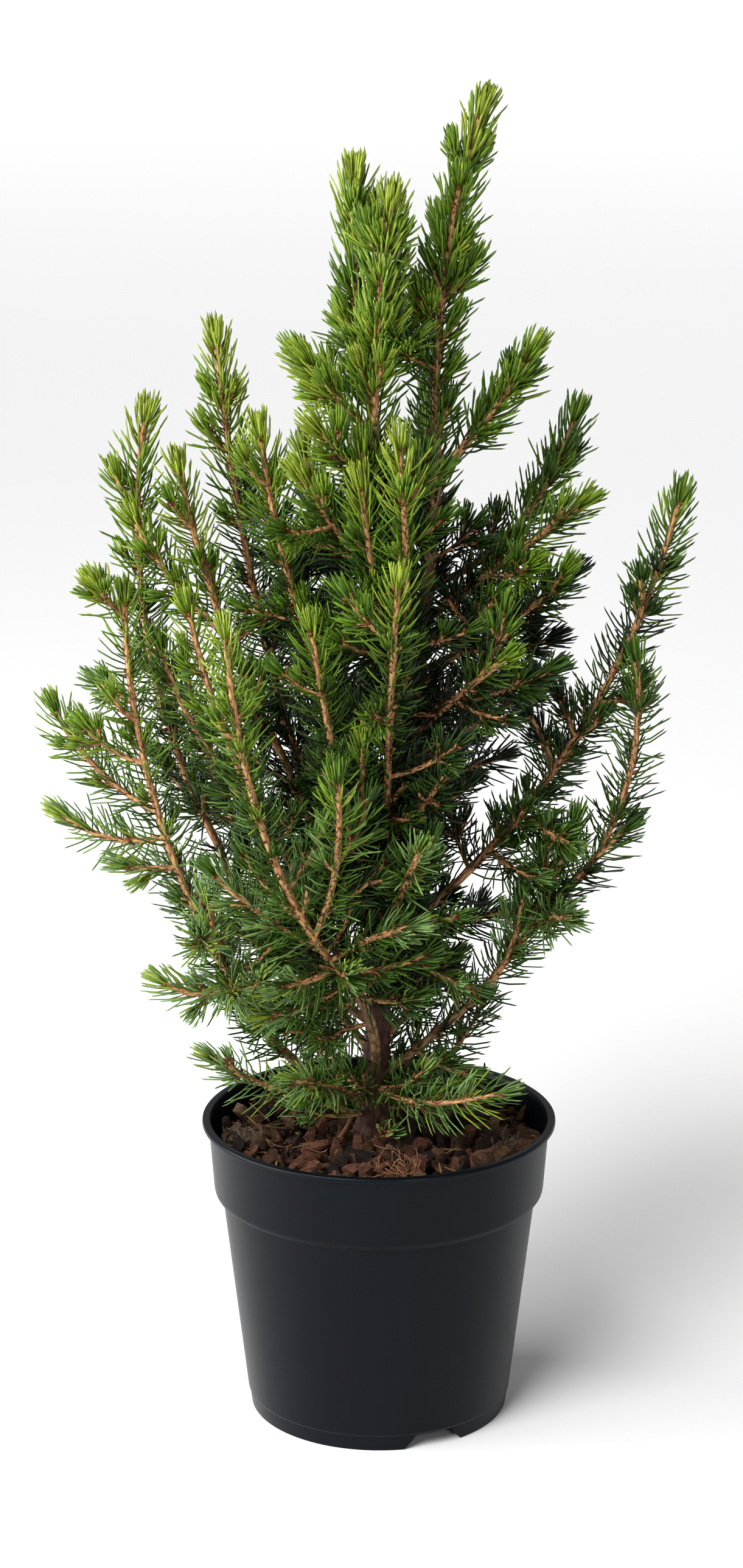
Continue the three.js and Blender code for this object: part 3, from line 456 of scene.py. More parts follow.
# Loose strands: seed, middle of the place they lie in, its radius, and their number, length, radius, lift
# and curl
FIBRES = (
    (400, (0, -32, 106), 24, 8, 12, 0.24, 0.1, 0.2),
    (500, (-32, -16, 106), 13, 8, 11, 0.24, 0.12, 0.25),
    (600, (9, -38, 107.5), 5, 30, 9, 0.22, 0.4, 0.42),
)
MOSS = (
    (700, (-50, -4, 106), 6, 150, 5, 0.15, 0.6, 0.45),
    (900, (47, -14, 106), 7, 150, 5, 0.15, 0.6, 0.45),
    (1100, (34, 30, 105.5), 7, 90, 5, 0.15, 0.6, 0.45),
)

# Wood that sticks out of the mulch: number, foot, tip, bow, sway and radii
DEAD_TWIG = (1, (-15.3, -6, 104), (-9, -3, 115), 1, 0.5, (0.9, 0.6))
SPLINTER = (2, (39, 36, 103), (40, 37, 119), 0.5, 0, (2.2, 0.3))

# Stage, in metres: the key light, the other lamps, and the camera. Each lamp has its name, power in watts,
# place, aim, width and height.
FLOOR_REACH = 30
AIM = (0, 0, 0.2)
KEY_PLACE = (-0.48, -0.74, 1.0)
KEY_ANGLE = 32
SOFTBOXES = (
    ("left_softbox", 28, (-1.15, -0.16, 0.34), AIM, 1.3, 1.1),
    ("right_softbox", 3.5, (0.52, -1.25, 0.4), AIM, 0.07, 0.5),
    ("backdrop_light", 165, (0, 9, 4), (0, 9, 0), 14, 9),
)
CAMERA_PLACE = (-0.0027, -1.219, 0.5675)
CAMERA_DIP = 0.264  # radians under the level
CAMERA_LENS = 80.85


def linear(code):
    """A hex sRGB colour as the linear RGBA that a shader takes."""
    channels = [int(code[i : i + 2], 16) / 255 for i in (1, 3, 5)]
    return tuple(c / 12.92 if c <= 0.04045 else ((c + 0.055) / 1.055) ** 2.4 for c in channels) + (1.0,)


def unit(vectors):
    """Vectors scaled to length one, along the last axis."""
    lengths = np.linalg.norm(vectors, axis=-1, keepdims=True)
    return vectors / np.maximum(lengths, 1e-12)


def seeded(seed):
    """The source's repeatable numbers from 0 to 1."""
    state = seed

    def following():
        nonlocal state
        state = (state * 1664525 + 1013904223) & 0xFFFFFFFF
        return state / 4294967296

    return following


def polar(azimuth, reach, height):
    """A point from its azimuth in degrees, its distance from the axis and its height."""
    turn = azimuth * RADIANS
    return np.array([reach * math.cos(turn), reach * math.sin(turn), height])


def leaned(along, across, angle):
    """The direction that leans from along towards across by an angle in radians."""
    return along * np.cos(angle) + across * np.sin(angle)


def turned(vector, axis, angle):
    """A vector turned about a unit axis."""
    return (
        vector * math.cos(angle)
        + np.cross(axis, vector) * math.sin(angle)
        + axis * np.dot(axis, vector) * (1 - math.cos(angle))
    )


def at_height(points, table):
    """A table's values at the heights of points."""
    return np.interp(points[..., 2], *table)


class Strand:
    """A limb or stem: a bowed line with a radius at each end, and what it belongs to."""

    def __init__(self, name, owner, kind, foot, tip, bow, sway, radii, bare):
        chord = tip - foot
        side = unit(np.cross(UP, chord))
        out = unit(np.cross(side, chord))
        self.name, self.owner, self.kind = name, owner, kind
        self.controls = (foot, (foot + tip) / 2 + out * 2 * bow + side * 2 * sway, tip)
        self.radii, self.bare = radii, bare
        self.number, self.nodes = 0, []
        self.steps = np.linspace(0, 1, 201)
        runs = np.linalg.norm(np.diff(self.curve(self.steps), axis=0), axis=1)
        self.runs = np.concatenate([[0], np.cumsum(runs)])
        self.length = self.runs[-1]

    def curve(self, t):
        """The points at the curve's own parameter, a parabola from foot to tip."""
        foot, control, tip = self.controls
        t = np.asarray(t, float)[..., None]
        return (1 - t) ** 2 * foot + 2 * t * (1 - t) * control + t**2 * tip

    def spread(self, share):
        """The curve's own parameter at a share of its length."""
        return np.interp(np.asarray(share, float) * self.length, self.runs, self.steps)

    def place(self, share):
        """The points at shares of the length."""
        return self.curve(self.spread(share))

    def heading(self, share):
        """The way the line runs there."""
        foot, control, tip = self.controls
        t = self.spread(share)[..., None]
        return unit((1 - t) * (control - foot) + t * (tip - control))

    def axes(self, share):
        """Heading and two directions square to it. The line lies in a plane, so they never twist."""
        along = self.heading(share)
        foot, control, tip = self.controls
        flat = np.cross(control - foot, tip - control)
        if np.linalg.norm(flat) < 1e-3:
            flat = np.cross(tip - foot, UP if abs(unit(tip - foot)[2]) < 0.9 else ACROSS)
        across = np.broadcast_to(unit(flat), along.shape)
        return along, np.cross(across, along), across

    def spokes(self, share, angle):
        """Directions square to the line, at angles round it."""
        _, out, across = self.axes(share)
        return out * np.cos(angle)[:, None] + across * np.sin(angle)[:, None]

    def radius(self, share, angle=0):
        """The radius under the bark's relief. The trunk flares into root lobes at its foot."""
        root, end = self.radii
        taper = root + (end - root) * np.asarray(share, float)
        if self.kind != "trunk":
            return taper
        flare = ROOT_FLARE * np.exp(-np.asarray(share) * 14)
        lobes = 1 + 0.16 * np.exp(-np.asarray(share) * 9) * np.cos(ROOT_LOBES * np.asarray(angle))
        return (taper + flare) * lobes


class Space:
    """Marks along every strand, which show the space that it takes."""

    def __init__(self):
        self.places, self.radii, self.strands = np.zeros((0, 3)), np.zeros(0), np.zeros(0, int)
        self.count = 0

    def add(self, strand):
        """Marks a strand's space and numbers it."""
        shares = np.linspace(0, 1, math.ceil(strand.length / SPACE_STEP) + 1)
        self.places = np.concatenate([self.places, strand.place(shares)])
        self.radii = np.concatenate([self.radii, strand.radius(shares)])
        self.strands = np.concatenate([self.strands, np.full(len(shares), self.count)])
        strand.number = self.count
        self.count += 1

    def crowded(self, points, own, clearance):
        """Whether each point is nearer than a clearance to the surface of any strand but its own."""
        low, high = points.min(0) - clearance - THICKEST, points.max(0) + clearance + THICKEST
        near = (self.strands != own) & (self.places > low).all(1) & (self.places < high).all(1)
        if not near.any():
            return np.zeros(len(points), bool)
        gaps = np.linalg.norm(points[:, None] - self.places[near], axis=2) - self.radii[near]
        return gaps.min(1) < clearance

    def shelter(self, points):
        """How much other growth hides each point from the light, from 0, open, to 1, deep inside."""
        rays = self.places[None] - points[:, None]
        distance = np.linalg.norm(rays, axis=2)
        ahead = rays @ LIGHT_FROM
        between = (ahead > SHELTER_NEAR) & (distance < SHELTER_FAR) & (ahead > SHELTER_CONE * distance)
        return np.clip(between.sum(1) / DEEP_SHELTER, 0, 1)


def in_pot_or_mulch(points):
    """Whether each point is inside the pot's wall, or in the room kept over the mulch and the rim."""
    reach = np.hypot(points[:, 0], points[:, 1])
    by_wall = reach > POT_INSIDE - POT_CLEARANCE
    ceiling = np.where(by_wall, POT_HEIGHT + POT_CLEARANCE, MULCH_TOP + MULCH_HEADROOM)
    return (reach < RIM_RADIUS + POT_CLEARANCE) & (points[:, 2] < ceiling)


def side_strand(name, kind, parent, at, turn, angle, length, bow, radii, bare):
    """A straight-ish shoot that leaves its parent at an angle, turned round it."""
    foot, along = parent.place(at), parent.heading(at)
    across = unit(np.cross(ACROSS if abs(along[2]) > 0.9 else UP, along))
    tip = foot + leaned(along, turned(across, along, turn), angle * RADIANS) * length
    return Strand(name, parent.owner, kind, foot, tip, bow, 0, radii, bare)


def has_room(shoot, parent, clearance, space, probes=PROBES):
    """Whether a shoot keeps clear of every strand but its parent, and of the pot and the mulch."""
    points = shoot.place(probes)
    return not (space.crowded(points, parent.number, clearance).any() or in_pot_or_mulch(points).any())


def in_core(shoot):
    """Whether a shoot stays in the crown's core, which is smaller on the side away from the light."""
    points = shoot.place(PROBES)
    reach = np.hypot(points[:, 0], points[:, 1]) - CORE_SHRINK * np.minimum(points @ TOWARD_LIGHT, 0)
    return not (reach > at_height(points, CORE)).any()


def add_twigs(stem, count, seed, space, strands):
    """The source's seeded twigs, spread along a mass's stem and turned by the golden angle."""
    random = seeded(seed)
    for k in range(count):
        at = stem.bare + (LAST_TWIG - stem.bare) * ((k + 0.35 + 0.5 * random()) / count)
        turn = GOLDEN_ANGLE * k + random()
        length = TWIG_LENGTH * (0.75 + 0.5 * random())
        twig = side_strand(
            f"{stem.name}.twig.{k}", "twig", stem, at, turn, TWIG_ANGLE, length, TWIG_BOW, TWIG_RADIUS,
            TWIG_BARE,
        )
        if has_room(twig, stem, TWIG_CLEARANCE, space):
            strands.append(twig)
            space.add(twig)


def add_inner_shoots(parent, seed, space, strands):
    """Thin shoots that fill the core of the crown. One that would touch another strand is left out."""
    random = np.random.default_rng(seed)
    covered = LAST_INNER - parent.bare
    count = round(parent.length * covered / INNER_STEP[parent.kind])
    for k in range(count):
        at = parent.bare + covered * (k + random.random()) / count
        length = random.uniform(*INNER_LENGTH)
        turn = GOLDEN_ANGLE * k + random.random()
        angle = INNER_ANGLE + random.uniform(-INNER_WHIM, INNER_WHIM)
        shoot = side_strand(
            f"{parent.name}.inner.{k}", "inner", parent, at, turn, angle, length, length * INNER_BOW,
            INNER_RADIUS, INNER_BARE,
        )
        high = parent.place(at)[2] >= INNER_LOWEST
        if high and in_core(shoot) and has_room(shoot, parent, INNER_CLEARANCE, space):
            strands.append(shoot)
            space.add(shoot)


def add_sprigs(parent, seed, space, strands):
    """Whorls of short shoots at the parent's nodes. One that would touch another strand is left out."""
    random = np.random.default_rng(seed)
    covered = LAST_SPRIG - parent.bare
    step = SPRIG_STEP[parent.kind] * (LEADING_STEP if parent.name.startswith("foliage_top") else 1)
    whorls = max(0, round(parent.length * covered / step))
    for k in range(whorls):
        at = parent.bare + covered * (k + 0.25 + 0.5 * random.random()) / whorls
        parent.nodes.append(at)
        turn = random.random() * 2 * math.pi
        members = random.integers(1, 4)
        high = np.clip((parent.place(at)[2] - HIGH_SPRIGS[0]) / HIGH_SPRIGS[1], 0, 1)
        for j in range(members):
            length = random.uniform(*SPRIG_LENGTH) * (1.25 - 0.5 * at) * (1 + HIGH_SPRIG_LONGER * high)
            round_it = turn + (j + 0.3 * random.random()) * 2 * math.pi / members
            angle = SPRIG_ANGLE - HIGH_SPRIG_STEEPER * high + random.uniform(-SPRIG_WHIM, SPRIG_WHIM)
            sprig = side_strand(
                f"{parent.name}.sprig.{k}.{j}", "sprig", parent, at, round_it, angle, length, SPRIG_BOW,
                SPRIG_RADIUS, 0,
            )
            if has_room(sprig, parent, SPRIG_CLEARANCE, space, PROBES[1:]):
                strands.append(sprig)
                space.add(sprig)


@functools.cache
def grown_plant():
    """Every limb, stem, shoot, twig and sprig, and the space that they take."""
    space, strands, named = Space(), [], {}

    def keep(strand):
        strands.append(strand)
        named[strand.name] = strand
        space.add(strand)
        return strand

    foot = np.array([*TRUNK_FOOT, GROUND - TRUNK_SUNK], float)
    fork = np.array([*TRUNK_FORK, FORK_HEIGHT], float)
    keep(Strand("trunk", "trunk", "trunk", foot, fork, *TRUNK_BEND, TRUNK_RADIUS, 0.2))
    for name, start, at, azimuth, reach, height, bow, sway, root, end, bare in LIMBS:
        foot, tip = named[start].place(at), polar(azimuth, reach, height)
        keep(Strand(name, name, "limb", foot, tip, bow, sway, (root, end), bare))
    for name, start, at, azimuth, reach, height, bow, sway, bare, _ in MASSES:
        foot, tip = named[start].place(at), polar(azimuth, reach, height)
        keep(Strand(name, name, "stem", foot, tip, bow, sway, STEM_RADIUS, bare))
    for i, (mass, at, azimuth, reach, height, bow, sway, bare) in enumerate(SIDE_SHOOTS):
        foot, tip = named[mass].place(at), polar(azimuth, reach, height)
        keep(Strand(f"{mass}.side.{i}", mass, "side", foot, tip, bow, sway, SIDE_SHOOT_RADIUS, bare))
    for i, (name, *_, twigs) in enumerate(MASSES):
        add_twigs(named[name], twigs, MASS_SEEDS * (i + 1), space, strands)
    for i, (start, at, azimuth, reach, height, bow) in enumerate(SMALL_SHOOTS):
        foot, tip = named[start].place(at), polar(azimuth, reach, height)
        name, owner = f"{start}.small.{i}", named[start].owner
        keep(Strand(name, owner, "side", foot, tip, bow, 0, SMALL_SHOOT_RADIUS, SMALL_SHOOT_BARE))
    for i, parent in enumerate([s for s in strands if s.kind in INNER_STEP]):
        add_inner_shoots(parent, SEEDS["inner"] + i, space, strands)
    for i, parent in enumerate([s for s in strands if s.kind in SPRIG_STEP]):
        add_sprigs(parent, SEEDS["sprig"] + i, space, strands)
    return strands, space


def form_of(bm):
    """A bmesh as arrays: its points, and its faces grouped by their number of corners."""
    bm.verts.index_update()
    points = np.array([v.co for v in bm.verts])
    rows = {}
    for face in bm.faces:
        rows.setdefault(len(face.verts), []).append([v.index for v in face.verts])
    bm.free()
    return points, [np.array(rows[corners]) for corners in sorted(rows)]


def copied(form, placed):
    """A batch of copies of a form: placed holds each copy's own points, in mm."""
    points, faces = form
    steps = np.arange(len(placed))[:, None, None] * len(points)
    return placed.reshape(-1, 3), [(rows[None] + steps).reshape(-1, rows.shape[1]) for rows in faces]


def joined_piece(name, batches, material, replaced=(), smooth=False):
    """One shown piece from batches of points in mm, faces and, for wood, each point's place on its stem."""
    points, corners, sizes, grains, start = [], [], [], [], 0
    for place, faces, *grain in batches:
        for rows in faces:
            corners.append((rows + start).ravel())
            sizes.append(np.full(len(rows), rows.shape[1]))
        points.append(place)
        grains += grain
        start += len(place)
    points, corners, sizes = (np.concatenate(x) for x in (points, corners, sizes))
    mesh = bpy.data.meshes.new(name)
    mesh.vertices.add(len(points))
    mesh.vertices.foreach_set("co", (points * MM).astype(np.float32).ravel())
    mesh.loops.add(len(corners))
    mesh.loops.foreach_set("vertex_index", corners.astype(np.int32))
    mesh.polygons.add(len(sizes))
    mesh.polygons.foreach_set("loop_start", (np.cumsum(sizes) - sizes).astype(np.int32))
    mesh.polygons.foreach_set("use_smooth", np.full(len(sizes), smooth))
    if grains:
        held = mesh.attributes.new(GRAIN, "FLOAT_VECTOR", "POINT")
        held.data.foreach_set("vector", (np.concatenate(grains) * MM).astype(np.float32).ravel())
    mesh.update(calc_edges=True)
    mesh.validate()
    return shown(bpy.data.objects.new(name, mesh), material, replaced)


def shown(piece, material, replaced=()):
    """Links a finished piece, paints it, ties it to the body, and hides the nodes it stands for."""
    bpy.context.scene.collection.objects.link(piece)
    piece.data.materials.clear()
    piece.data.materials.append(material)
    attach(piece, BODY)
    if replaced:
        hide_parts(*replaced)
    return piece


def object_of(name, bm):
    """An object made from a bmesh, which is freed."""
    mesh = bpy.data.meshes.new(name)
    bm.to_mesh(mesh)
    bm.free()
    return bpy.data.objects.new(name, mesh)


def piece_of(name, bm, material, replaced, crease):
    """One shown piece made from a bmesh in mm, smooth but for edges sharper than the crease angle."""
    bmesh.ops.scale(bm, vec=(MM, MM, MM), verts=bm.verts)
    piece = object_of(name, bm)
    piece.data.polygons.foreach_set("use_smooth", np.full(len(piece.data.polygons), True))
    piece.data.set_sharp_from_angle(angle=crease * RADIANS)
    return shown(piece, material, replaced)


def rounded(corners):
    """A profile whose corners, each (reach, height, rounding), are turned into small arcs."""
    points = []
    for i, (reach, height, rounding) in enumerate(corners):
        here = np.array([reach, height], float)
        if not rounding:
            points.append(here)
            continue
        ends = []
        for j in (i - 1, i + 1):
            run = np.array(corners[j][:2]) - here
            ends.append(here + unit(run) * min(rounding, np.linalg.norm(run) / 2))
        for t in (0, 0.25, 0.5, 0.75, 1):
            points.append((1 - t) ** 2 * ends[0] + 2 * t * (1 - t) * here + t**2 * ends[1])
    return points


def spun(profile, steps):
    """A closed bmesh turned from a profile of (reach, height) that starts and ends on the axis."""
    bm = bmesh.new()
    verts = [bm.verts.new((reach, 0, height)) for reach, height in profile]
    edges = [bm.edges.new(pair) for pair in zip(verts, verts[1:])]
    bmesh.ops.spin(
        bm, geom=verts + edges, cent=(0, 0, 0), axis=(0, 0, 1), angle=2 * math.pi, steps=steps,
        use_merge=True,
    )
    bmesh.ops.remove_doubles(bm, verts=bm.verts, dist=1e-3)
    bmesh.ops.recalc_face_normals(bm, faces=bm.faces)
    return bm


@functools.cache
def tube_form(sides, rings):
    """A closed unit tube: points' angle round it and share along it, and its faces."""
    bm = bmesh.new()
    bmesh.ops.create_cone(bm, cap_ends=True, segments=sides, radius1=1, radius2=1, depth=1)
    uprights = [e for e in bm.edges if abs(e.verts[0].co.z - e.verts[1].co.z) > 0.5]
    bmesh.ops.subdivide_edges(bm, edges=uprights, cuts=rings - 1, use_grid_fill=True)
    points, faces = form_of(bm)
    return np.arctan2(points[:, 1], points[:, 0]), points[:, 2] + 0.5, faces


def tube(strand, sides, step, relief):
    """A batch with one strand's wall. Relief gives its height over the bark from share and angle."""
    rings = max(3, round(strand.length / step))
    angle, share, faces = tube_form(sides, rings)
    radius = strand.radius(share, angle) + relief(strand, share, angle)
    if strand.kind in GIRTH:
        radius = radius * at_height(strand.place(0.5), GIRTH[strand.kind])
    run = share * strand.length + strand.number * GRAIN_SHIFT
    grain = np.stack([np.cos(angle) * radius, np.sin(angle) * radius, run], 1)
    return strand.place(share) + strand.spokes(share, angle) * radius[:, None], faces, grain


def needle_sites(strand, spacing):
    """Where a stem's needles stand: shares along it and angles round it, by the golden angle."""
    middle = strand.place(0.6)
    spacing *= SPARSENESS[strand.kind] * at_height(middle, SPARSE_FOOT)
    spacing *= np.interp(middle @ TOWARD_LIGHT, *SPARSE_IN_LIGHT)
    spacing *= at_height(middle, SPARSE_BY_HEIGHT)
    count = max(1, int(strand.length * (1 - strand.bare) / spacing))
    random = np.random.default_rng(strand.number + 1)
    order = np.arange(count) + 0.5 + random.uniform(-SITE_WHIM, SITE_WHIM, count)
    share = np.clip(strand.bare + (1 - strand.bare) * order / count, strand.bare, 1)
    angle = GOLDEN_ANGLE * np.arange(count) + random.normal(0, ANGLE_WHIM, count)
    return share, angle


def peg_relief(spacing, height):
    """Relief of the woody pegs that needles stand on: a ridge that runs down the stem below each."""

    def relief(strand, share, angle):
        at, round_it = needle_sites(strand, spacing)
        below = (at[None] - share[:, None]) * strand.length
        aside = (angle[:, None] - round_it[None] + math.pi) % (2 * math.pi) - math.pi
        aside = aside * strand.radius(share)[:, None]
        slope = np.where(below > 0, np.clip(1 - below / PEG_RUN, 0, 1), np.clip(1 + below / PEG_CAP, 0, 1))
        return (height * slope * np.exp(-((aside / PEG_WIDTH) ** 2))).max(1)

    return relief


def bark_relief(depth, grain):
    """Relief of older bark: long shallow fissures, flakes and the rings of past buds."""

    def relief(strand, share, angle):
        radius, run = strand.radius(share, angle), share * strand.length
        spoke = (np.cos(angle) * radius / grain, np.sin(angle) * radius / grain)
        points = np.stack([*spoke, run / (grain * 4)], 1)
        rough = np.array([noise.fractal(Vector(p), 0.8, 2.2, 3) for p in points + strand.number * 7.3])
        fissures = np.array([1 - abs(noise.noise(Vector(p * (1.7, 1.7, 0.8)))) * 2 for p in points])
        rings = np.exp(-(((run + 9) % BUD_RING_STEP - 15) ** 2) / 1.6)
        return depth * (0.8 * rough - 0.7 * np.clip(fissures - 0.55, 0, 1) * 2 + 0.8 * rings)

    return relief


def needle_form():
    """A three-sided needle along +Z from 0 to 1 and one unit thick, with a narrow foot and a short tip."""
    rings, girths = (0, 0.45, 0.9, 1), (0.75, 1.0, 0.88, 0.0)
    bm = bmesh.new()
    bmesh.ops.create_cone(bm, cap_ends=True, segments=3, radius1=1, radius2=1, depth=1)
    uprights = [e for e in bm.edges if abs(e.verts[0].co.z - e.verts[1].co.z) > 0.5]
    bmesh.ops.subdivide_edges(bm, edges=uprights, cuts=2, use_grid_fill=True)
    for v in bm.verts:
        v.co.z = np.interp(v.co.z, (-0.5, -0.17, 0.17, 0.5), rings)
        girth = np.interp(v.co.z, rings, girths)
        v.co.x *= girth
        v.co.y *= girth
    bmesh.ops.remove_doubles(bm, verts=bm.verts, dist=1e-4)
    return form_of(bm)


def tufted_sites(strand, needles, random):
    """A stem's needle sites, with those of the tuft that closes its tip, and which ones are the tuft's."""
    share, angle = needle_sites(strand, needles.spacing / MM)
    fullness = TUFT_SHARE.get(strand.kind, 1)
    extra = round(needles.tuft * fullness * at_height(strand.place(1.0), TUFT_BY_HEIGHT))
    share = np.concatenate([share, 1 - random.uniform(0, TUFT_DEPTH, extra) / strand.length])
    angle = np.concatenate([angle, GOLDEN_ANGLE * np.arange(extra)])
    return share, angle, np.arange(len(share)) >= len(share) - extra


def needle_leans(strand, needles, share, from_tip, leading, in_tuft, random):
    """Each needle's angle to its stem: wide low down, less so on shoots that lead upwards and in tufts."""
    steep = leading * np.clip(strand.heading(share)[:, 2], 0, 1) * needles.steepening
    steep = steep * np.interp((1 - share) * strand.length, *STEEP_BY_TIP)
    lean = needles.tuft_lean + (needles.lean - steep - needles.tuft_lean) * from_tip**0.7
    lean = lean + random.normal(0, LEAN_WHIM, len(share))
    tuft_lean = needles.tuft_lean * np.sqrt(random.uniform(*TUFT_SPREAD, len(share)))
    return np.where(in_tuft, tuft_lean, lean)


def needles_blocked(strand, root, direction, length, space):
    """Which needles would run into another strand, the pot or the mulch."""
    probes = np.concatenate([root + direction * (length * part)[:, None] for part in (0.4, 0.7, 1)])
    crowded = space.crowded(probes, strand.number, NEEDLE_CLEARANCE)
    return (crowded | in_pot_or_mulch(probes - UP * NEEDLE_HEADROOM)).reshape(3, -1).any(0)


def needles_on(strand, needles, space):
    """A stem's needles as rows: root, direction, forward direction, length, thickness and bend."""
    random = np.random.default_rng(SEEDS["needle"] + strand.number)
    share, angle, in_tuft = tufted_sites(strand, needles, random)
    place, along, spoke = strand.place(share), strand.heading(share), strand.spokes(share, angle)
    from_tip = np.clip((1 - share) * strand.length / TUFT_LENGTH, 0, 1)
    if strand.kind in ("limb", "trunk"):
        from_tip[:] = 1
    leading = np.clip((place[:, 2] - LEADING_FROM[0]) / LEADING_FROM[1], 0, 1)
    lean = needle_leans(strand, needles, share, from_tip, leading, in_tuft, random)
    lift = at_height(place, LIFT_BY_HEIGHT) * (1 - np.abs(along[:, 2])) * from_tip
    direction = unit(leaned(along, spoke, lean[:, None]) + UP * lift[:, None])
    forward = unit(along - direction * (along * direction).sum(1)[:, None] + spoke * 1e-3)
    root = place + spoke * (strand.radius(share, angle) * NEEDLE_ROOT)[:, None]
    length = needles.length / MM * random.uniform(*NEEDLE_LENGTHS, len(share))
    length = length * NEEDLE_SHARE.get(strand.kind, 1) * np.interp(from_tip, *SHORT_BY_TIP)
    length = length * (1 + LEADING_LONGER * leading)
    bend = random.uniform(*NEEDLE_BENDS, len(share)) * at_height(place, BEND_BY_HEIGHT)
    thick = needles.width / MM * random.uniform(*NEEDLE_WIDTHS, len(share))
    thick = thick * (1 + LEADING_THICKER * leading)
    keep = ~needles_blocked(strand, root, direction, length, space)
    shade = needle_shades(strand, share, root, space, random)
    return [row[keep] for row in (root, direction, forward, length, thick, bend)], shade[keep]


def needle_shades(strand, share, root, space, random):
    """Which of the colours each needle takes, by its number. The needles of a spray are alike. The colours
    are painted light and shade: lighter toward the light, low down and near the top, darker where other
    growth shelters a needle from the light and on inner growth.
    """
    spray = (share * strand.length / SPRAY_LENGTH).astype(int)
    whim = random.normal(0, SPRAY_WHIM, spray.max() + 1)[spray] + random.normal(0, NEEDLE_WHIM, len(share))
    marks = np.linspace(0, 1, max(2, math.ceil(strand.length / SPRAY_LENGTH) + 1))
    shelter = np.interp(share, marks, space.shelter(strand.place(marks)))
    shelter = shelter * at_height(root, SHELTER_BY_HEIGHT)
    lit = (root @ TOWARD_LIGHT) / LIT_REACH
    # Fresh tips are the yellower new growth, counted fresher where lit and open: partly painted light
    fresh = np.clip(1 - (1 - share) * strand.length / FRESH_LENGTH, 0, 1)
    fresh = fresh * (1 if strand.kind in ("stem", "side") else LESSER_FRESH)
    upright = np.clip(strand.heading(share)[:, 2], 0, 1)
    fresh = fresh * (0.3 + 0.7 * upright) * at_height(root, FRESH_BY_HEIGHT)
    fresh = fresh * np.clip(0.8 + 0.5 * lit, 0.3, 1) * (1 - shelter)
    # Painted light and painted shade: light, height and shelter raise or lower the score, and so the tone
    # of green
    score = SCORE_START + SCORE_LIGHT * lit + at_height(root, PAINTED_LIGHT_BY_HEIGHT)
    score = score - SCORE_SHELTER * shelter**0.9 + SCORE_FRESH * fresh + whim
    # Painted shade on the needles of thick wood and inner shoots
    if strand.kind in ("limb", "trunk", "inner"):
        score = score - PAINTED_SHADE_INSIDE
    shade = np.digitize(-score, [-limit for limit in SCORE_LIMITS])
    # The old green takes the place of the lit tone low down: greyer old needles, made paler as painted
    # light
    low = root[:, 2] < random.normal(OLD_BELOW, OLD_BLUR, len(share))
    old = (shade == NEEDLE_COLOURS.index("light")) & low
    return np.where(old, NEEDLE_COLOURS.index("old"), shade)


def needle_batches(rows, form):
    """Batches of placed needles, none with more than a piece's worth of triangles."""
    root, direction, forward, length, thick, bend = (np.concatenate(parts) for parts in zip(*rows))
    aside = np.cross(direction, forward)
    points, faces = form
    triangles = sum(len(f) * (f.shape[1] - 2) for f in faces)
    x = points[:, 0] * thick[:, None] / 2 + bend[:, None] * length[:, None] * points[:, 2] ** 2
    y = points[:, 1] * thick[:, None] / 2
    z = points[:, 2] * length[:, None]
    placed = root[:, None] + x[..., None] * forward[:, None] + y[..., None] * aside[:, None]
    placed = placed + z[..., None] * direction[:, None]
    most = PIECE_TRIANGLES // triangles
    pieces = math.ceil(len(placed) / most)
    return [copied(form, part) for part in np.array_split(placed, pieces)]


def bud_form():
    """A pointed bud along +Z from 0 to 1, one unit thick."""
    bm = bmesh.new()
    bmesh.ops.create_uvsphere(bm, u_segments=5, v_segments=3, radius=1)
    for v in bm.verts:
        girth = 1 if v.co.z < 0.3 else 0.8
        v.co.x *= girth
        v.co.y *= girth
        v.co.z = (v.co.z + 1) / 2
    return form_of(bm)


def placed_along(form, foot, direction, length, thick):
    """Copies of a form that lies along +Z, each with its own foot, direction and size."""
    points, _ = form
    helper = np.where(np.abs(direction[:, 2:3]) > 0.9, np.array([[1.0, 0, 0]]), UP[None])
    across = unit(np.cross(helper, direction))
    aside = np.cross(direction, across)
    x = points[:, 0] * thick[:, None] / 2
    y = points[:, 1] * thick[:, None] / 2
    z = points[:, 2] * length[:, None]
    place = foot[:, None] + x[..., None] * across[:, None] + y[..., None] * aside[:, None]
    return copied(form, place + z[..., None] * direction[:, None])


def bud_rows(strands):
    """Where buds and their scales sit: one at each tip with smaller ones beside it, and scales at nodes."""
    random = np.random.default_rng(SEEDS["bud"])
    rows = []

    def bud(place, towards, long, wide):
        rows.append((place, unit(towards), long, wide))

    def random_spoke(strand, at):
        """A strand's heading, and a direction square to it that is turned by chance."""
        along, out, across = (v[0] for v in strand.axes(np.array([at])))
        turn = random.random() * 2 * math.pi
        return along, out * math.cos(turn) + across * math.sin(turn)

    for s in strands:
        if s.kind in ("limb", "trunk"):
            continue
        size, beside = (SPRIG_BUD, 1) if s.kind == "sprig" else (1, 3)
        along, tip = s.heading(np.array([1.0]))[0], s.place(1.0)
        bud(tip - along * BUD_DEPTH, along, TIP_BUD[0] * size, TIP_BUD[1] * size)
        for _ in range(beside):
            along, spoke = random_spoke(s, 1.0)
            place = tip - along * 2 * BUD_DEPTH + spoke * BUD_ASIDE
            bud(place, leaned(along, spoke, SIDE_BUD_LEAN), SIDE_BUD[0] * size, SIDE_BUD[1] * size)
    for s in strands:
        for at in s.nodes:
            for _ in range(SCALES):
                along, spoke = random_spoke(s, at)
                place = s.place(at) + spoke * s.radius(at) * NEEDLE_ROOT
                place = place + along * random.uniform(-SCALE_STRAY, SCALE_STRAY)
                towards = leaned(along, spoke, random.uniform(*SCALE_LEAN))
                bud(place, towards, random.uniform(*SCALE_LENGTH), SCALE_WIDTH)
    return (np.array(column) for column in zip(*rows))


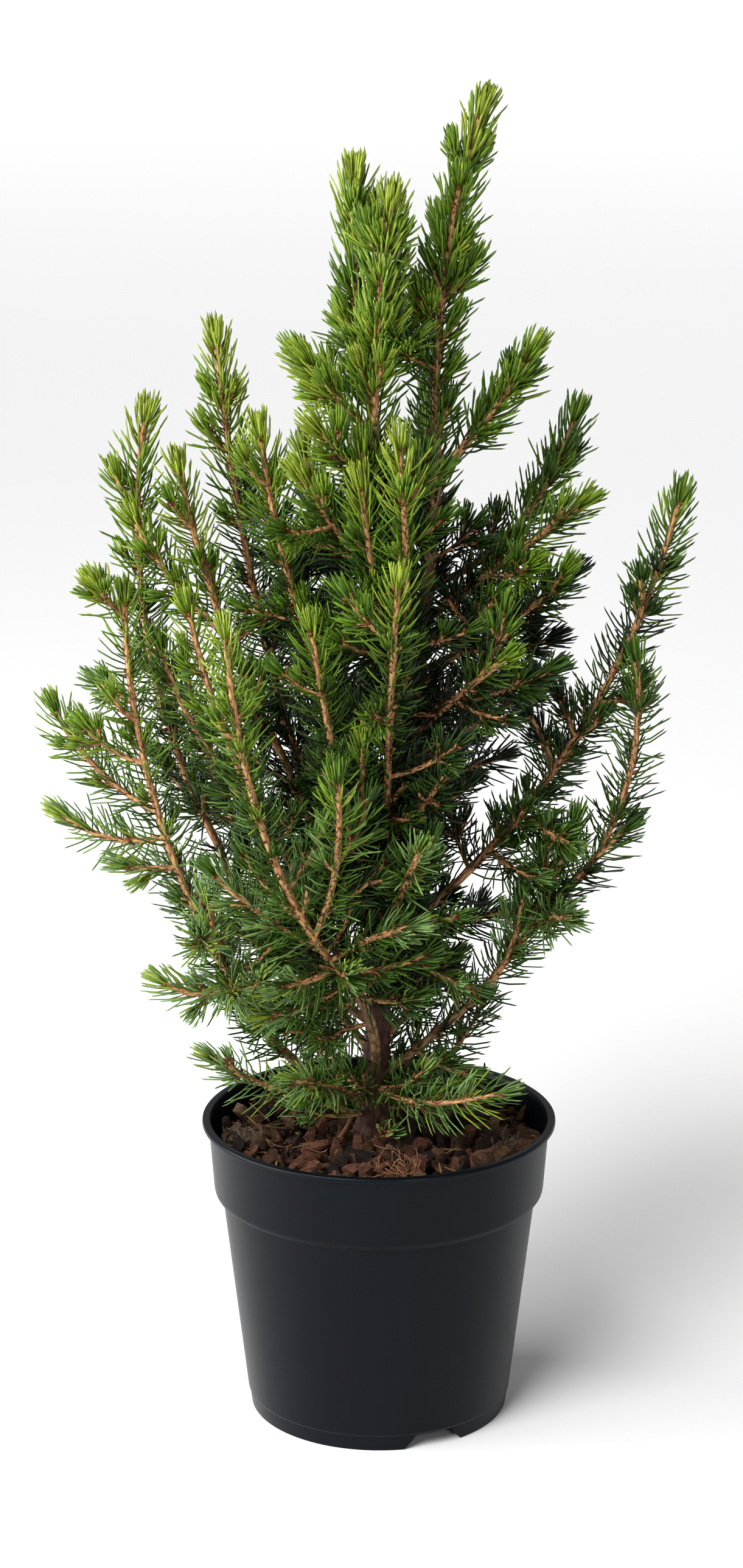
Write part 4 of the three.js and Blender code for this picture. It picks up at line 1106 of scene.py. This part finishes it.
def chip_forms(count):
    """Worn bark chips about one unit across: cubes, tapered, skewed and rounded by a seeded rule."""
    random = np.random.default_rng(SEEDS["form"])
    forms = []
    for _ in range(count):
        bm = bmesh.new()
        bmesh.ops.create_cube(bm, size=1)
        bmesh.ops.subdivide_edges(bm, edges=bm.edges, cuts=1, use_grid_fill=True)
        narrow = random.uniform(0.2, 0.7)
        skew, bow = random.uniform(-0.35, 0.35), random.uniform(-0.25, 0.25)
        for v in bm.verts:
            corner = sum(abs(c) > 0.4 for c in v.co)
            v.co *= (1.06, 1.0, 0.88, 0.74)[corner]
            v.co.y = v.co.y * (1 - narrow * (v.co.x + 0.5)) + skew * v.co.x
            v.co.z += bow * v.co.x**2
            v.co += Vector(random.uniform(-CHIP_ROUGHNESS, CHIP_ROUGHNESS, 3))
        bmesh.ops.recalc_face_normals(bm, faces=bm.faces)
        forms.append(form_of(bm))
    return forms


def turn_matrices(turns, tilts, rolls):
    """Rotations that roll and tilt a piece, then turn it about the upright."""
    matrices = [
        Matrix.Rotation(turn, 3, "Z") @ Matrix.Rotation(tilt, 3, "Y") @ Matrix.Rotation(roll, 3, "X")
        for turn, tilt, roll in zip(turns, tilts, rolls)
    ]
    return np.array([[list(row) for row in m] for m in matrices])


def scattered(random, count, inner, outer):
    """Places spread evenly over the mulch by the golden angle, a little moved about."""
    turn = GOLDEN_ANGLE * np.arange(count) + random.normal(0, 0.2, count)
    share = (np.arange(count) + random.uniform(0, 1, count)) / count
    reach = np.sqrt(inner**2 + (outer**2 - inner**2) * share)
    order = random.permutation(count)
    return np.stack([reach * np.cos(turn), reach * np.sin(turn)], 1)[order]


def chip_batches(mulch):
    """Chips in three layers, as batches for each of the shades."""
    random = np.random.default_rng(SEEDS["chip"])
    forms = chip_forms(CHIP_FORMS)
    batches = [[] for _ in CHIP_SHADES]
    red, pale = CHIP_SHADES.index("red"), CHIP_SHADES.index("pale")
    for share, height, tilt, dark in CHIP_LAYERS:
        count = round(mulch.chips * share)
        size = mulch.chip_length / MM * random.uniform(*CHIP_SIZES, count) ** 1.2
        wide, thick = random.uniform(*CHIP_WIDTHS, count), random.uniform(*CHIP_THICKNESSES, count)
        sizes = np.stack([size, size * wide, size * thick], 1)
        outer = POT_INSIDE + 0.6
        place = scattered(random, count, CHIPS_FROM, outer - 2)
        reach = np.linalg.norm(place, axis=1)
        place *= (np.minimum(reach, outer - size * 0.46) / reach)[:, None]
        turn = random.uniform(0, 2 * math.pi, count)
        turns = turn_matrices(turn, random.normal(0, tilt, count), random.normal(0, tilt, count))
        heights = height + random.normal(0, CHIP_DROP, count)
        for i in range(count):
            points, faces = forms[random.integers(len(forms))]
            centre = np.array([*place[i], heights[i]])
            shade = red if random.random() > dark else random.integers(red + 1, pale)
            shade = pale if random.random() < PALE_CHIPS else shade
            batches[shade].append((points * sizes[i] @ turns[i].T + centre, faces))
    return batches


def crumb_batch(count):
    """Small crumbs of bark and compost that fill in between the chips."""
    random = np.random.default_rng(SEEDS["crumb"])
    bm = bmesh.new()
    bmesh.ops.create_icosphere(bm, subdivisions=1, radius=0.5)
    for v in bm.verts:
        v.co *= random.uniform(0.7, 1.15)
    form = form_of(bm)
    place = scattered(random, count, 8, POT_INSIDE - 1.6)
    centre = np.column_stack([place, random.uniform(*CRUMB_HEIGHTS, count)])
    size = random.uniform(*CRUMB_SIZES, (count, 1)) * random.uniform(0.6, 1.2, (count, 3))
    turns = turn_matrices(*random.uniform(0, 2 * math.pi, (3, count)))
    points = np.einsum("nij,npj->npi", turns, form[0][None] * size[:, None]) + centre[:, None]
    return copied(form, points)


def loose_wood(number, foot, tip, bow, sway, radii):
    """A fibre, twig or splinter in the mulch. Its number places its grain."""
    foot, tip = np.array(foot, float), np.array(tip, float)
    strand = Strand("loose", "mulch", "loose", foot, tip, bow, sway, radii, 0)
    strand.number = number
    return strand


def loose_strands(seed, centre, spread, count, length, radius, lift, curl):
    """Thin curled fibres that lie about a place on the mulch."""
    random = np.random.default_rng(seed)
    found = []
    for k in range(count):
        turn, at = random.uniform(0, 2 * math.pi, 2)
        long = length * random.uniform(0.5, 1.3)
        away = np.array([math.cos(at), math.sin(at), 0]) * spread * math.sqrt(random.random())
        half = np.array([math.cos(turn), math.sin(turn), random.normal(0, lift)]) * long / 2
        bow, sway = random.normal(0, long * curl, 2)
        middle = np.array(centre) + away
        ends = middle - half, middle + half
        found.append(loose_wood(seed + k, *ends, abs(bow), sway, (radius, radius * 0.6)))
    return found


def faint_relief(strand, share, angle):
    """Slight swellings along a loose fibre."""
    return 0.06 * np.sin(share * 40 + strand.number)


def fallen_needles(needles, count):
    """Dead needles on the mulch, as rows like those of the living ones."""
    random = np.random.default_rng(SEEDS["dead"])
    place = scattered(random, count, 10, POT_INSIDE - 7)
    root = np.column_stack([place, random.uniform(*FALLEN_HEIGHTS, count)])
    turn = random.uniform(0, 2 * math.pi, count)
    direction = unit(np.stack([np.cos(turn), np.sin(turn), random.normal(0, 0.16, count)], 1))
    forward = unit(np.cross(direction, UP))
    length = needles.length / MM * random.uniform(0.6, 0.9, count)
    thick = needles.width / MM * random.uniform(0.7, 0.95, count)
    return root, direction, forward, length, thick, random.uniform(-0.12, 0.12, count)


def add_node(tree, kind, inputs=None, **settings):
    """Adds a shader node with its settings, and fills or links its inputs by name or number."""
    made = tree.nodes.new(kind)
    for name, value in settings.items():
        setattr(made, name, value)
    for name, value in (inputs or {}).items():
        if isinstance(value, bpy.types.NodeSocket):
            tree.links.new(value, made.inputs[name])
        else:
            made.inputs[name].default_value = value
    return made


def per_metre(millimetres):
    """The texture scale that repeats a pattern every so many millimetres."""
    return 1 / (millimetres * MM)


def new_material(name, **shader):
    """An empty material with its shader, whose constant sockets are set here."""
    material = bpy.data.materials.new(name)
    material.use_nodes = True
    tree = material.node_tree
    tree.nodes.clear()
    constants = {socket.replace("_", " "): value for socket, value in shader.items()}
    principled = add_node(tree, "ShaderNodeBsdfPrincipled", constants)
    output = add_node(tree, "ShaderNodeOutputMaterial")
    tree.links.new(principled.outputs["BSDF"], output.inputs["Surface"])
    return material, tree, principled


def object_place(tree, stretch=(1, 1, 1)):
    """The piece's own coordinates, stretched along its axes."""
    place = add_node(tree, "ShaderNodeTexCoord").outputs["Object"]
    return add_node(tree, "ShaderNodeMapping", {"Vector": place, "Scale": stretch}).outputs["Vector"]


def stem_place(tree, stretch):
    """A point's place on its own stem, stretched across, across and along."""
    place = add_node(tree, "ShaderNodeAttribute", attribute_name=GRAIN).outputs["Vector"]
    return add_node(tree, "ShaderNodeMapping", {"Vector": place, "Scale": stretch}).outputs["Vector"]


def cells_of(tree, place, size, whim):
    """How far a point is from the edges of cells about so many millimetres wide, with a whim added."""
    inputs = {"Vector": place, "Scale": per_metre(size)}
    cells = add_node(tree, "ShaderNodeTexVoronoi", inputs, feature="DISTANCE_TO_EDGE").outputs["Distance"]
    summed = add_node(tree, "ShaderNodeMath", {0: cells, 1: 1.4, 2: whim}, operation="MULTIPLY_ADD")
    return summed.outputs["Value"]


def noise_of(tree, place, size, detail=3, roughness=0.55):
    """A noise whose blots are about so many millimetres wide."""
    inputs = {"Vector": place, "Scale": per_metre(size), "Detail": detail, "Roughness": roughness}
    return add_node(tree, "ShaderNodeTexNoise", inputs).outputs["Fac"]


def toned(colour, factor=1):
    """A colour setting as the RGBA that a shader takes, made lighter or darker."""
    return tuple(min(1.0, c * factor) for c in colour[:3]) + (1.0,)


def paint(tree, principled, factor, *stops):
    """Gives a material's base colour a ramp from (position, colour) stops."""
    made = add_node(tree, "ShaderNodeValToRGB", {"Fac": factor})
    elements = made.color_ramp.elements
    while len(elements) < len(stops):
        elements.new(0.5)
    for element, (position, colour) in zip(elements, stops):
        element.position = position
        element.color = colour
    tree.links.new(made.outputs["Color"], principled.inputs["Base Color"])


def bump(tree, principled, height, distance, strength=1.0):
    """Gives a material's surface a relief whose height is in millimetres."""
    inputs = {"Height": height, "Distance": distance * MM, "Strength": strength}
    made = add_node(tree, "ShaderNodeBump", inputs)
    tree.links.new(made.outputs["Normal"], principled.inputs["Normal"])


def needle_material(name, colour):
    """Waxy spruce needle: a satin sheen over green, a little lighter and darker from one to the next."""
    material, tree, principled = new_material(name, Roughness=0.4, IOR=1.45, Specular_IOR_Level=0.36)
    whim = noise_of(tree, object_place(tree), 5, 2)
    dark, light = toned(colour, 0.64), toned(colour, 1.3)
    paint(tree, principled, whim, (0.3, dark), (0.52, toned(colour)), (0.74, light))
    return material


def young_bark_material(wood):
    """First-year spruce bark: dry, orange-brown and ridged, paler on the ridges and dark in the grooves,
    partly its own tone and partly painted light on the ridges and painted shade in the grooves.
    """
    material, tree, principled = new_material("young_spruce_bark", Roughness=0.72, IOR=1.45)
    grooves = noise_of(tree, stem_place(tree, (1, 1, 0.16)), 0.9, 4, 0.65)
    ridges = cells_of(tree, stem_place(tree, (1, 1, 0.34)), 1.3, grooves)
    light, dark = wood.young_light, wood.young_dark
    # Painted light on the ridges and painted shade in the grooves, over the bark's own orange-brown
    paint(tree, principled, ridges, (0.46, toned(dark)), (0.68, toned(light, 0.7)), (0.98, toned(light)))
    bump(tree, principled, ridges, 0.3)
    return material


def bark_material(name, light, dark):
    """Older spruce bark: flakes over darker cracks, quite rough."""
    material, tree, principled = new_material(name, Roughness=0.85, IOR=1.45)
    rough = noise_of(tree, stem_place(tree, (1, 1, 0.45)), 1.7, 5, 0.7)
    flakes = cells_of(tree, stem_place(tree, (1, 1, 0.5)), 2.6, rough)
    paint(tree, principled, flakes, (0.4, toned(dark)), (0.62, toned(light, 0.62)), (0.9, toned(light)))
    bump(tree, principled, flakes, 0.6)
    return material


def bud_material(colour):
    """Papery bud scales: red-brown with a faint gloss."""
    material, tree, principled = new_material("papery_bud_scale", Roughness=0.55, IOR=1.45)
    whim = noise_of(tree, object_place(tree), 1.5)
    paint(tree, principled, whim, (0.3, toned(colour, 0.6)), (0.7, toned(colour, 1.25)))
    return material


def plastic_material(pot):
    """Moulded polypropylene: blue-black and satin, with slow streaks from the mould and a faint grain.

    The grain is drawn coarser than the real one, so that it shows.
    """
    material, tree, principled = new_material("moulded_polypropylene", IOR=1.49, Specular_IOR_Level=0.12)
    streaks = noise_of(tree, object_place(tree, (1, 1, 0.12)), 14, 3, 0.5)
    paint(tree, principled, streaks, (0.3, toned(pot.plastic, 0.88)), (0.7, toned(pot.plastic, 1.12)))
    limits = {"Value": streaks, "To Min": pot.roughness - 0.05, "To Max": pot.roughness + 0.05}
    dull = add_node(tree, "ShaderNodeMapRange", limits)
    tree.links.new(dull.outputs["Result"], principled.inputs["Roughness"])
    bump(tree, principled, noise_of(tree, object_place(tree), 0.7, 2), 0.03, 0.6)
    return material


def chip_material(name, colour):
    """Crushed pine bark: dull and layered, with paler fibres where it broke and much darker patches, laid
    out by a noise.
    """
    material, tree, principled = new_material(name, Roughness=0.92, IOR=1.45, Specular_IOR_Level=0.25)
    layers = noise_of(tree, object_place(tree, (1, 1, 2.2)), 2.6, 6, 0.78)
    tones = ((0.34, 0.16), (0.46, 0.6), (0.57, 1), (0.72, 1.7))
    paint(tree, principled, layers, *((position, toned(colour, tone)) for position, tone in tones))
    bump(tree, principled, noise_of(tree, object_place(tree), 1.3, 5, 0.7), 0.7)
    return material


def compost_material(colour):
    """Damp compost under the chips: almost black, crumbly."""
    material, tree, principled = new_material("damp_compost", Roughness=0.95, IOR=1.4)
    crumbs = noise_of(tree, object_place(tree), 2.2, 5, 0.7)
    paint(tree, principled, crumbs, (0.35, toned(colour, 0.35)), (0.7, toned(colour, 1.1)))
    bump(tree, principled, crumbs, 1.6)
    return material


def fibre_material(name, colour):
    """Dry plant fibre: matt, with lighter and darker lengths."""
    material, tree, principled = new_material(name, Roughness=0.8, IOR=1.45)
    whim = noise_of(tree, object_place(tree), 4)
    paint(tree, principled, whim, (0.3, toned(colour, 0.6)), (0.7, toned(colour, 1.3)))
    return material


def floor_material(colour):
    """Matt white paper: no gloss, and the faintest clouding."""
    material, tree, principled = new_material("matt_floor", Roughness=0.9, Specular_IOR_Level=0)
    whim = noise_of(tree, object_place(tree), 900)
    paint(tree, principled, whim, (0.3, toned(colour, 0.99)), (0.7, toned(colour)))
    return material


def colour_setting(name, description, code):
    """A colour that a user can change, from its hex sRGB code."""
    return bpy.props.FloatVectorProperty(
        name=name, description=description, default=linear(code)[:3], subtype="COLOR", size=3, min=0, max=1
    )


def length_setting(name, description, default, least, most):
    """A length that a user can change, given here in mm."""
    return bpy.props.FloatProperty(
        name=name, description=description, default=default * MM, min=least * MM, max=most * MM,
        subtype="DISTANCE", unit="LENGTH",
    )


def angle_setting(name, description, degrees):
    """An angle that a user can change, up to half a turn."""
    return bpy.props.FloatProperty(
        name=name, description=description, default=degrees * RADIANS, min=0, max=math.pi,
        subtype="ANGLE", unit="ROTATION",
    )


class SpruceWood(bpy.types.PropertyGroup):
    """Sizes and colours of the trunk, boughs and stems"""

    bark_depth: length_setting("Bark depth", "Height of the relief on older bark", 0.45, 0, 2)
    peg_height: length_setting("Peg height", "Height of the pegs that needles stand on", 0.34, 0, 1)
    # Young bark: the ridges take painted light and the grooves painted shade, over the bark's own colours
    young_light: colour_setting("Young bark, ridges", "First-year bark where light falls on it", "#cd9863")
    young_dark: colour_setting("Young bark, grooves", "First-year bark between its ridges", "#67371e")
    bough_light: colour_setting("Bough bark, flakes", "Flakes on boughs and leaders", "#ac875f")
    bough_dark: colour_setting("Bough bark, cracks", "Cracks on boughs and leaders", "#513625")
    trunk_light: colour_setting("Trunk bark, flakes", "Flakes on the trunk", "#5c3f30")
    trunk_dark: colour_setting("Trunk bark, cracks", "Cracks on the trunk", "#24160f")
    bud: colour_setting("Bud scales", "Buds and their scales", "#7a3f22")


class SpruceNeedles(bpy.types.PropertyGroup):
    """Sizes and colours of the needles"""

    length: length_setting("Length", "Length of a needle on a main stem", 13.2, 2, 40)
    width: length_setting("Thickness", "Thickness of a needle at its widest", 0.76, 0.3, 3)
    spacing: length_setting("Spacing", "Stretch of stem for each needle", 0.44, 0.1, 5)
    tuft: bpy.props.IntProperty(
        name="Tuft needles", description="Extra needles that close the tip of a stem", default=22,
        min=0, max=100,
    )
    lean: angle_setting("Lean", "Angle between a needle and its stem", 70)
    steepening: angle_setting("Steepening", "How much less that angle is on the leading shoots", 17)
    tuft_lean: angle_setting("Tuft lean", "The same, at the tip of a stem", 26)
    # Painted light and shade on one needle green: fresh and light are lit tones, middle lies between, deep
    # and shaded are shaded tones. Fresh is also the yellower new growth, and old the greyer old needles,
    # made paler as painted light low down.
    fresh: colour_setting("Fresh", "Needles at the sunny tips", "#86992c")
    light: colour_setting("Light", "Needles on outer shoots", "#64831f")
    middle: colour_setting("Middle", "Needles half-way in", "#416017")
    deep: colour_setting("Deep", "Needles inside the crown", "#2e4816")
    shaded: colour_setting("Shaded", "Needles that light hardly reaches", "#16260d")
    old: colour_setting("Old", "Old, lit needles low down", "#6b894a")


class SprucePot(bpy.types.PropertyGroup):
    """Colour and finish of the nursery pot"""

    plastic: colour_setting("Plastic", "Colour of the pot", "#060a11")
    roughness: bpy.props.FloatProperty(
        name="Roughness", description="How dull the plastic is", default=0.34, min=0, max=1,
        subtype="FACTOR",
    )


class SpruceMulch(bpy.types.PropertyGroup):
    """Amount and colours of the bark mulch"""

    chips: bpy.props.IntProperty(
        name="Chips", description="Number of bark chips", default=600, min=10, max=2000
    )
    chip_length: length_setting("Chip length", "Length of a middling chip", 9.2, 2, 40)
    red: colour_setting("Red chips", "The freshest chips", "#5e3c2c")
    brown: colour_setting("Brown chips", "Most chips", "#46301f")
    dark: colour_setting("Dark chips", "Damp chips and compost", "#231812")
    pale: colour_setting("Pale chips", "The few chips of bare wood", "#6f5843")
    fibre: colour_setting("Fibres", "The loose fibres", "#7d5537")
    moss: colour_setting("Moss", "The dry moss", "#5c4c3c")
    dead_needle: colour_setting("Dead needles", "Fallen needles", "#80683a")


class SpruceStage(bpy.types.PropertyGroup):
    """Floor and light"""

    floor: colour_setting("Floor", "Colour of the floor", "#f9f9f9")
    key: bpy.props.FloatProperty(
        name="Key light", description="Strength of the main light", default=3.15, min=0
    )
    sky: bpy.props.FloatProperty(
        name="Sky", description="Strength of the even light all round", default=0.17, min=0
    )


class SPRUCE_OT_wood(bpy.types.Operator):
    """Models the trunk, leaders and boughs with their bark"""

    bl_idname = "spruce.wood"
    bl_label = "Trunk and boughs"

    def execute(self, context):
        wood = context.scene.spruce_wood
        strands, _ = grown_plant()
        relief = bark_relief(wood.bark_depth / MM, BARK_GRAIN)
        trunk = [tube(s, *TRUNK_MESH, relief) for s in strands if s.kind == "trunk"]
        material = bark_material("old_spruce_bark", wood.trunk_light, wood.trunk_dark)
        joined_piece("trunk", trunk, material, ["trunk"], smooth=True)
        boughs = [tube(s, *BOUGH_MESH, relief) for s in strands if s.kind == "limb"]
        material = bark_material("bough_bark", wood.bough_light, wood.bough_dark)
        joined_piece("boughs", boughs, material, LIMB_NODES, smooth=True)
        return {"FINISHED"}


class SPRUCE_OT_stems(bpy.types.Operator):
    """Models the young stems, twigs and sprigs with the pegs that needles stand on"""

    bl_idname = "spruce.stems"
    bl_label = "Young stems"

    def execute(self, context):
        wood, needles = context.scene.spruce_wood, context.scene.spruce_needles
        strands, _ = grown_plant()
        relief = peg_relief(needles.spacing / MM, wood.peg_height / MM)
        material = young_bark_material(wood)
        for name, kinds, fineness in YOUNG_WOOD:
            tubes = [tube(s, *fineness, relief) for s in strands if s.kind in kinds]
            joined_piece(name, tubes, material, FOLIAGE_NODES, smooth=True)
        buds = placed_along(bud_form(), *bud_rows(strands))
        joined_piece("buds", [buds], bud_material(wood.bud), FOLIAGE_NODES, smooth=True)
        return {"FINISHED"}


class SPRUCE_OT_needles(bpy.types.Operator):
    """Sets every needle, in six greens dealt out by spray, which paint light and shade on the crown"""

    bl_idname = "spruce.needles"
    bl_label = "Needles"

    def execute(self, context):
        needles = context.scene.spruce_needles
        strands, space = grown_plant()
        by_colour = [[] for _ in NEEDLE_COLOURS]
        for s in strands:
            rows, shades = needles_on(s, needles, space)
            for shade, found in enumerate(by_colour):
                found.append([row[shades == shade] for row in rows])
        form = needle_form()
        for name, rows in zip(NEEDLE_COLOURS, by_colour):
            material = needle_material(f"spruce_needle_{name}", getattr(needles, name))
            for i, batch in enumerate(needle_batches(rows, form)):
                piece = f"needles_{name}_{i + 1}"
                joined_piece(piece, [batch], material, FOLIAGE_NODES, smooth=True)
        return {"FINISHED"}


class SPRUCE_OT_pot(bpy.types.Operator):
    """Turns the pot and cuts the drainage notches in its foot"""

    bl_idname = "spruce.pot"
    bl_label = "Pot"

    def execute(self, context):
        blank = object_of("pot_blank", spun(rounded(POT_PROFILE), POT_SIDES))
        cutter = self.notches()
        for item in (blank, cutter):
            context.scene.collection.objects.link(item)
        cut = blank.modifiers.new("notches", "BOOLEAN")
        cut.operation, cut.solver, cut.object = "DIFFERENCE", "EXACT", cutter
        bm = bmesh.new()
        bm.from_object(blank, context.evaluated_depsgraph_get())
        for item in (blank, cutter):
            bpy.data.objects.remove(item)
        material = plastic_material(context.scene.spruce_pot)
        piece_of("nursery_pot", bm, material, ["pot"], POT_CREASE)
        return {"FINISHED"}

    def notches(self):
        """Three wedges that reach through the foot's wall."""
        bm = bmesh.new()
        wide, narrow = NOTCH_WIDTH / 2, NOTCH_TOP_WIDTH / 2
        outline = (
            (-wide, -1), (wide, -1), (wide, 0), (narrow, NOTCH_HEIGHT), (-narrow, NOTCH_HEIGHT), (-wide, 0),
        )
        for i in range(NOTCHES):
            face = bm.faces.new([bm.verts.new((FOOT_RADIUS - NOTCH_DEPTH / 2, y, z)) for y, z in outline])
            grown = bmesh.ops.extrude_face_region(bm, geom=[face])["geom"]
            ends = [v for v in grown if isinstance(v, bmesh.types.BMVert)]
            bmesh.ops.translate(bm, verts=ends, vec=(NOTCH_DEPTH, 0, 0))
            wedge = list({*ends, *face.verts})
            turn = Matrix.Rotation((NOTCH_AZIMUTH + 360 / NOTCHES * i) * RADIANS, 3, "Z")
            bmesh.ops.rotate(bm, verts=wedge, cent=(0, 0, 0), matrix=turn)
        bmesh.ops.recalc_face_normals(bm, faces=bm.faces)
        return object_of("notches", bm)


class SPRUCE_OT_mulch(bpy.types.Operator):
    """Fills the pot with compost and covers it with bark chips, crumbs, fibres and dead needles"""

    bl_idname = "spruce.mulch"
    bl_label = "Mulch"

    def execute(self, context):
        mulch, needles = context.scene.spruce_mulch, context.scene.spruce_needles
        bm = spun(rounded(MULCH_PROFILE), COMPOST_SIDES)
        for v in bm.verts:
            if v.co.z > MULCH_TOP - 6 and math.hypot(v.co.x, v.co.y) > 4:
                v.co.z += COMPOST_RELIEF * noise.fractal(v.co / COMPOST_LUMPS, 0.9, 2.1, 3) - COMPOST_SUNK
        piece_of("compost", bm, compost_material(mulch.dark), ["mulch"], COMPOST_CREASE)
        for shade, batches in zip(CHIP_SHADES, chip_batches(mulch)):
            material = chip_material(f"pine_bark_{shade}", getattr(mulch, shade))
            chips = self.lay(f"bark_chips_{shade}", batches, material, smooth=True)
            chips.data.set_sharp_from_angle(angle=CHIP_CREASE * RADIANS)
        self.lay("bark_crumbs", [crumb_batch(CRUMBS)], chip_material("pine_bark_crumbs", mulch.brown))
        self.loose_parts(mulch, needles)
        return {"FINISHED"}

    def lay(self, name, batches, material, smooth=False):
        """One piece of the mulch."""
        return joined_piece(name, batches, material, ["mulch"], smooth)

    def loose_parts(self, mulch, needles):
        """A splinter, fibres with a dead twig, tufts of dry moss and fallen needles."""
        splinter = [tube(loose_wood(*SPLINTER), *SPLINTER_MESH, faint_relief)]
        self.lay("bark_splinter", splinter, chip_material("pine_bark_splinter", mulch.dark))
        fibres = [tube(s, *FIBRE_MESH, faint_relief) for row in FIBRES for s in loose_strands(*row)]
        fibres.append(tube(loose_wood(*DEAD_TWIG), *TWIG_MESH, faint_relief))
        self.lay("loose_fibres", fibres, fibre_material("dry_fibre", mulch.fibre), smooth=True)
        moss = [tube(s, *MOSS_MESH, faint_relief) for row in MOSS for s in loose_strands(*row)]
        self.lay("moss", moss, fibre_material("dry_moss", mulch.moss))
        fallen = needle_batches([fallen_needles(needles, FALLEN_NEEDLES)], needle_form())
        self.lay("fallen_needles", fallen, fibre_material("dead_needle", mulch.dead_needle))


class SPRUCE_OT_stage(bpy.types.Operator):
    """Sets the floor, the light and the camera"""

    bl_idname = "spruce.stage"
    bl_label = "Floor, light and camera"

    def execute(self, context):
        scene, stage = context.scene, context.scene.spruce_stage
        self.lay_floor(scene, stage)
        self.set_lights(scene, stage)
        self.set_camera(scene)
        scene.view_settings.view_transform = "Standard"
        return {"FINISHED"}

    def lay_floor(self, scene, stage):
        """A wide floor that is part of the stage, not of the plant."""
        bm = bmesh.new()
        bmesh.ops.create_grid(bm, x_segments=2, y_segments=2, size=FLOOR_REACH)
        floor = object_of("floor", bm)
        scene.collection.objects.link(floor)
        floor.data.materials.append(floor_material(stage.floor))

    def set_lights(self, scene, stage):
        """A soft sun, softboxes, and an even white light all round."""
        sun = self.add_light("key", "SUN", stage.key, KEY_PLACE, AIM)
        sun.angle = KEY_ANGLE * RADIANS
        for name, power, place, aim, wide, high in SOFTBOXES:
            lamp = self.add_light(name, "AREA", power, place, aim)
            lamp.shape, lamp.size, lamp.size_y = "RECTANGLE", wide, high
        world = bpy.data.worlds.new("even_light")
        world.use_nodes = True
        background = world.node_tree.nodes["Background"]
        background.inputs["Color"].default_value = (1, 1, 1, 1)
        background.inputs["Strength"].default_value = stage.sky
        scene.world = world

    def add_light(self, name, kind, power, place, aim):
        """A lamp at a place that shines at its aim."""
        lamp = bpy.data.lights.new(name, kind)
        lamp.energy = power
        light = bpy.data.objects.new(name, lamp)
        light.location = place
        light.rotation_euler = (Vector(aim) - Vector(place)).to_track_quat("-Z", "Y").to_euler()
        bpy.context.scene.collection.objects.link(light)
        return lamp

    def set_camera(self, scene):
        """The photograph's camera, level with the crown and tipped down a little."""
        camera = bpy.data.objects.new("camera", bpy.data.cameras.new("camera"))
        camera.data.lens = CAMERA_LENS
        camera.location = CAMERA_PLACE
        camera.rotation_euler = (math.pi / 2 - CAMERA_DIP, 0, 0)
        scene.collection.objects.link(camera)
        scene.camera = camera


class SPRUCE_PT_panel(bpy.types.Panel):
    """The spruce's pieces and settings"""

    bl_idname = "SPRUCE_PT_panel"
    bl_label = "Potted spruce"
    bl_space_type = "VIEW_3D"
    bl_region_type = "UI"
    bl_category = "Spruce"

    def draw(self, context):
        for operator in OPERATORS:
            self.layout.operator(operator.bl_idname)
        for group, owner in SETTINGS.items():
            box = self.layout.box()
            for name in owner.__annotations__:
                box.prop(getattr(context.scene, group), name)


SETTINGS = {
    "spruce_wood": SpruceWood,
    "spruce_needles": SpruceNeedles,
    "spruce_pot": SprucePot,
    "spruce_mulch": SpruceMulch,
    "spruce_stage": SpruceStage,
}
OPERATORS = (
    SPRUCE_OT_wood,
    SPRUCE_OT_stems,
    SPRUCE_OT_needles,
    SPRUCE_OT_pot,
    SPRUCE_OT_mulch,
    SPRUCE_OT_stage,
)


def register():
    """Registers every class and hangs the settings on the scene."""
    for item in (*SETTINGS.values(), *OPERATORS, SPRUCE_PT_panel):
        bpy.utils.register_class(item)
    for name, group in SETTINGS.items():
        setattr(bpy.types.Scene, name, bpy.props.PointerProperty(type=group))


def unregister():
    """Takes back what register did."""
    for name in SETTINGS:
        delattr(bpy.types.Scene, name)
    for item in (SPRUCE_PT_panel, *reversed(OPERATORS), *reversed(SETTINGS.values())):
        bpy.utils.unregister_class(item)


def main():
    """Builds every piece and the stage."""
    register()
    bpy.ops.spruce.wood()
    bpy.ops.spruce.stems()
    bpy.ops.spruce.needles()
    bpy.ops.spruce.pot()
    bpy.ops.spruce.mulch()
    bpy.ops.spruce.stage()


if __name__ == "__main__":
    main()
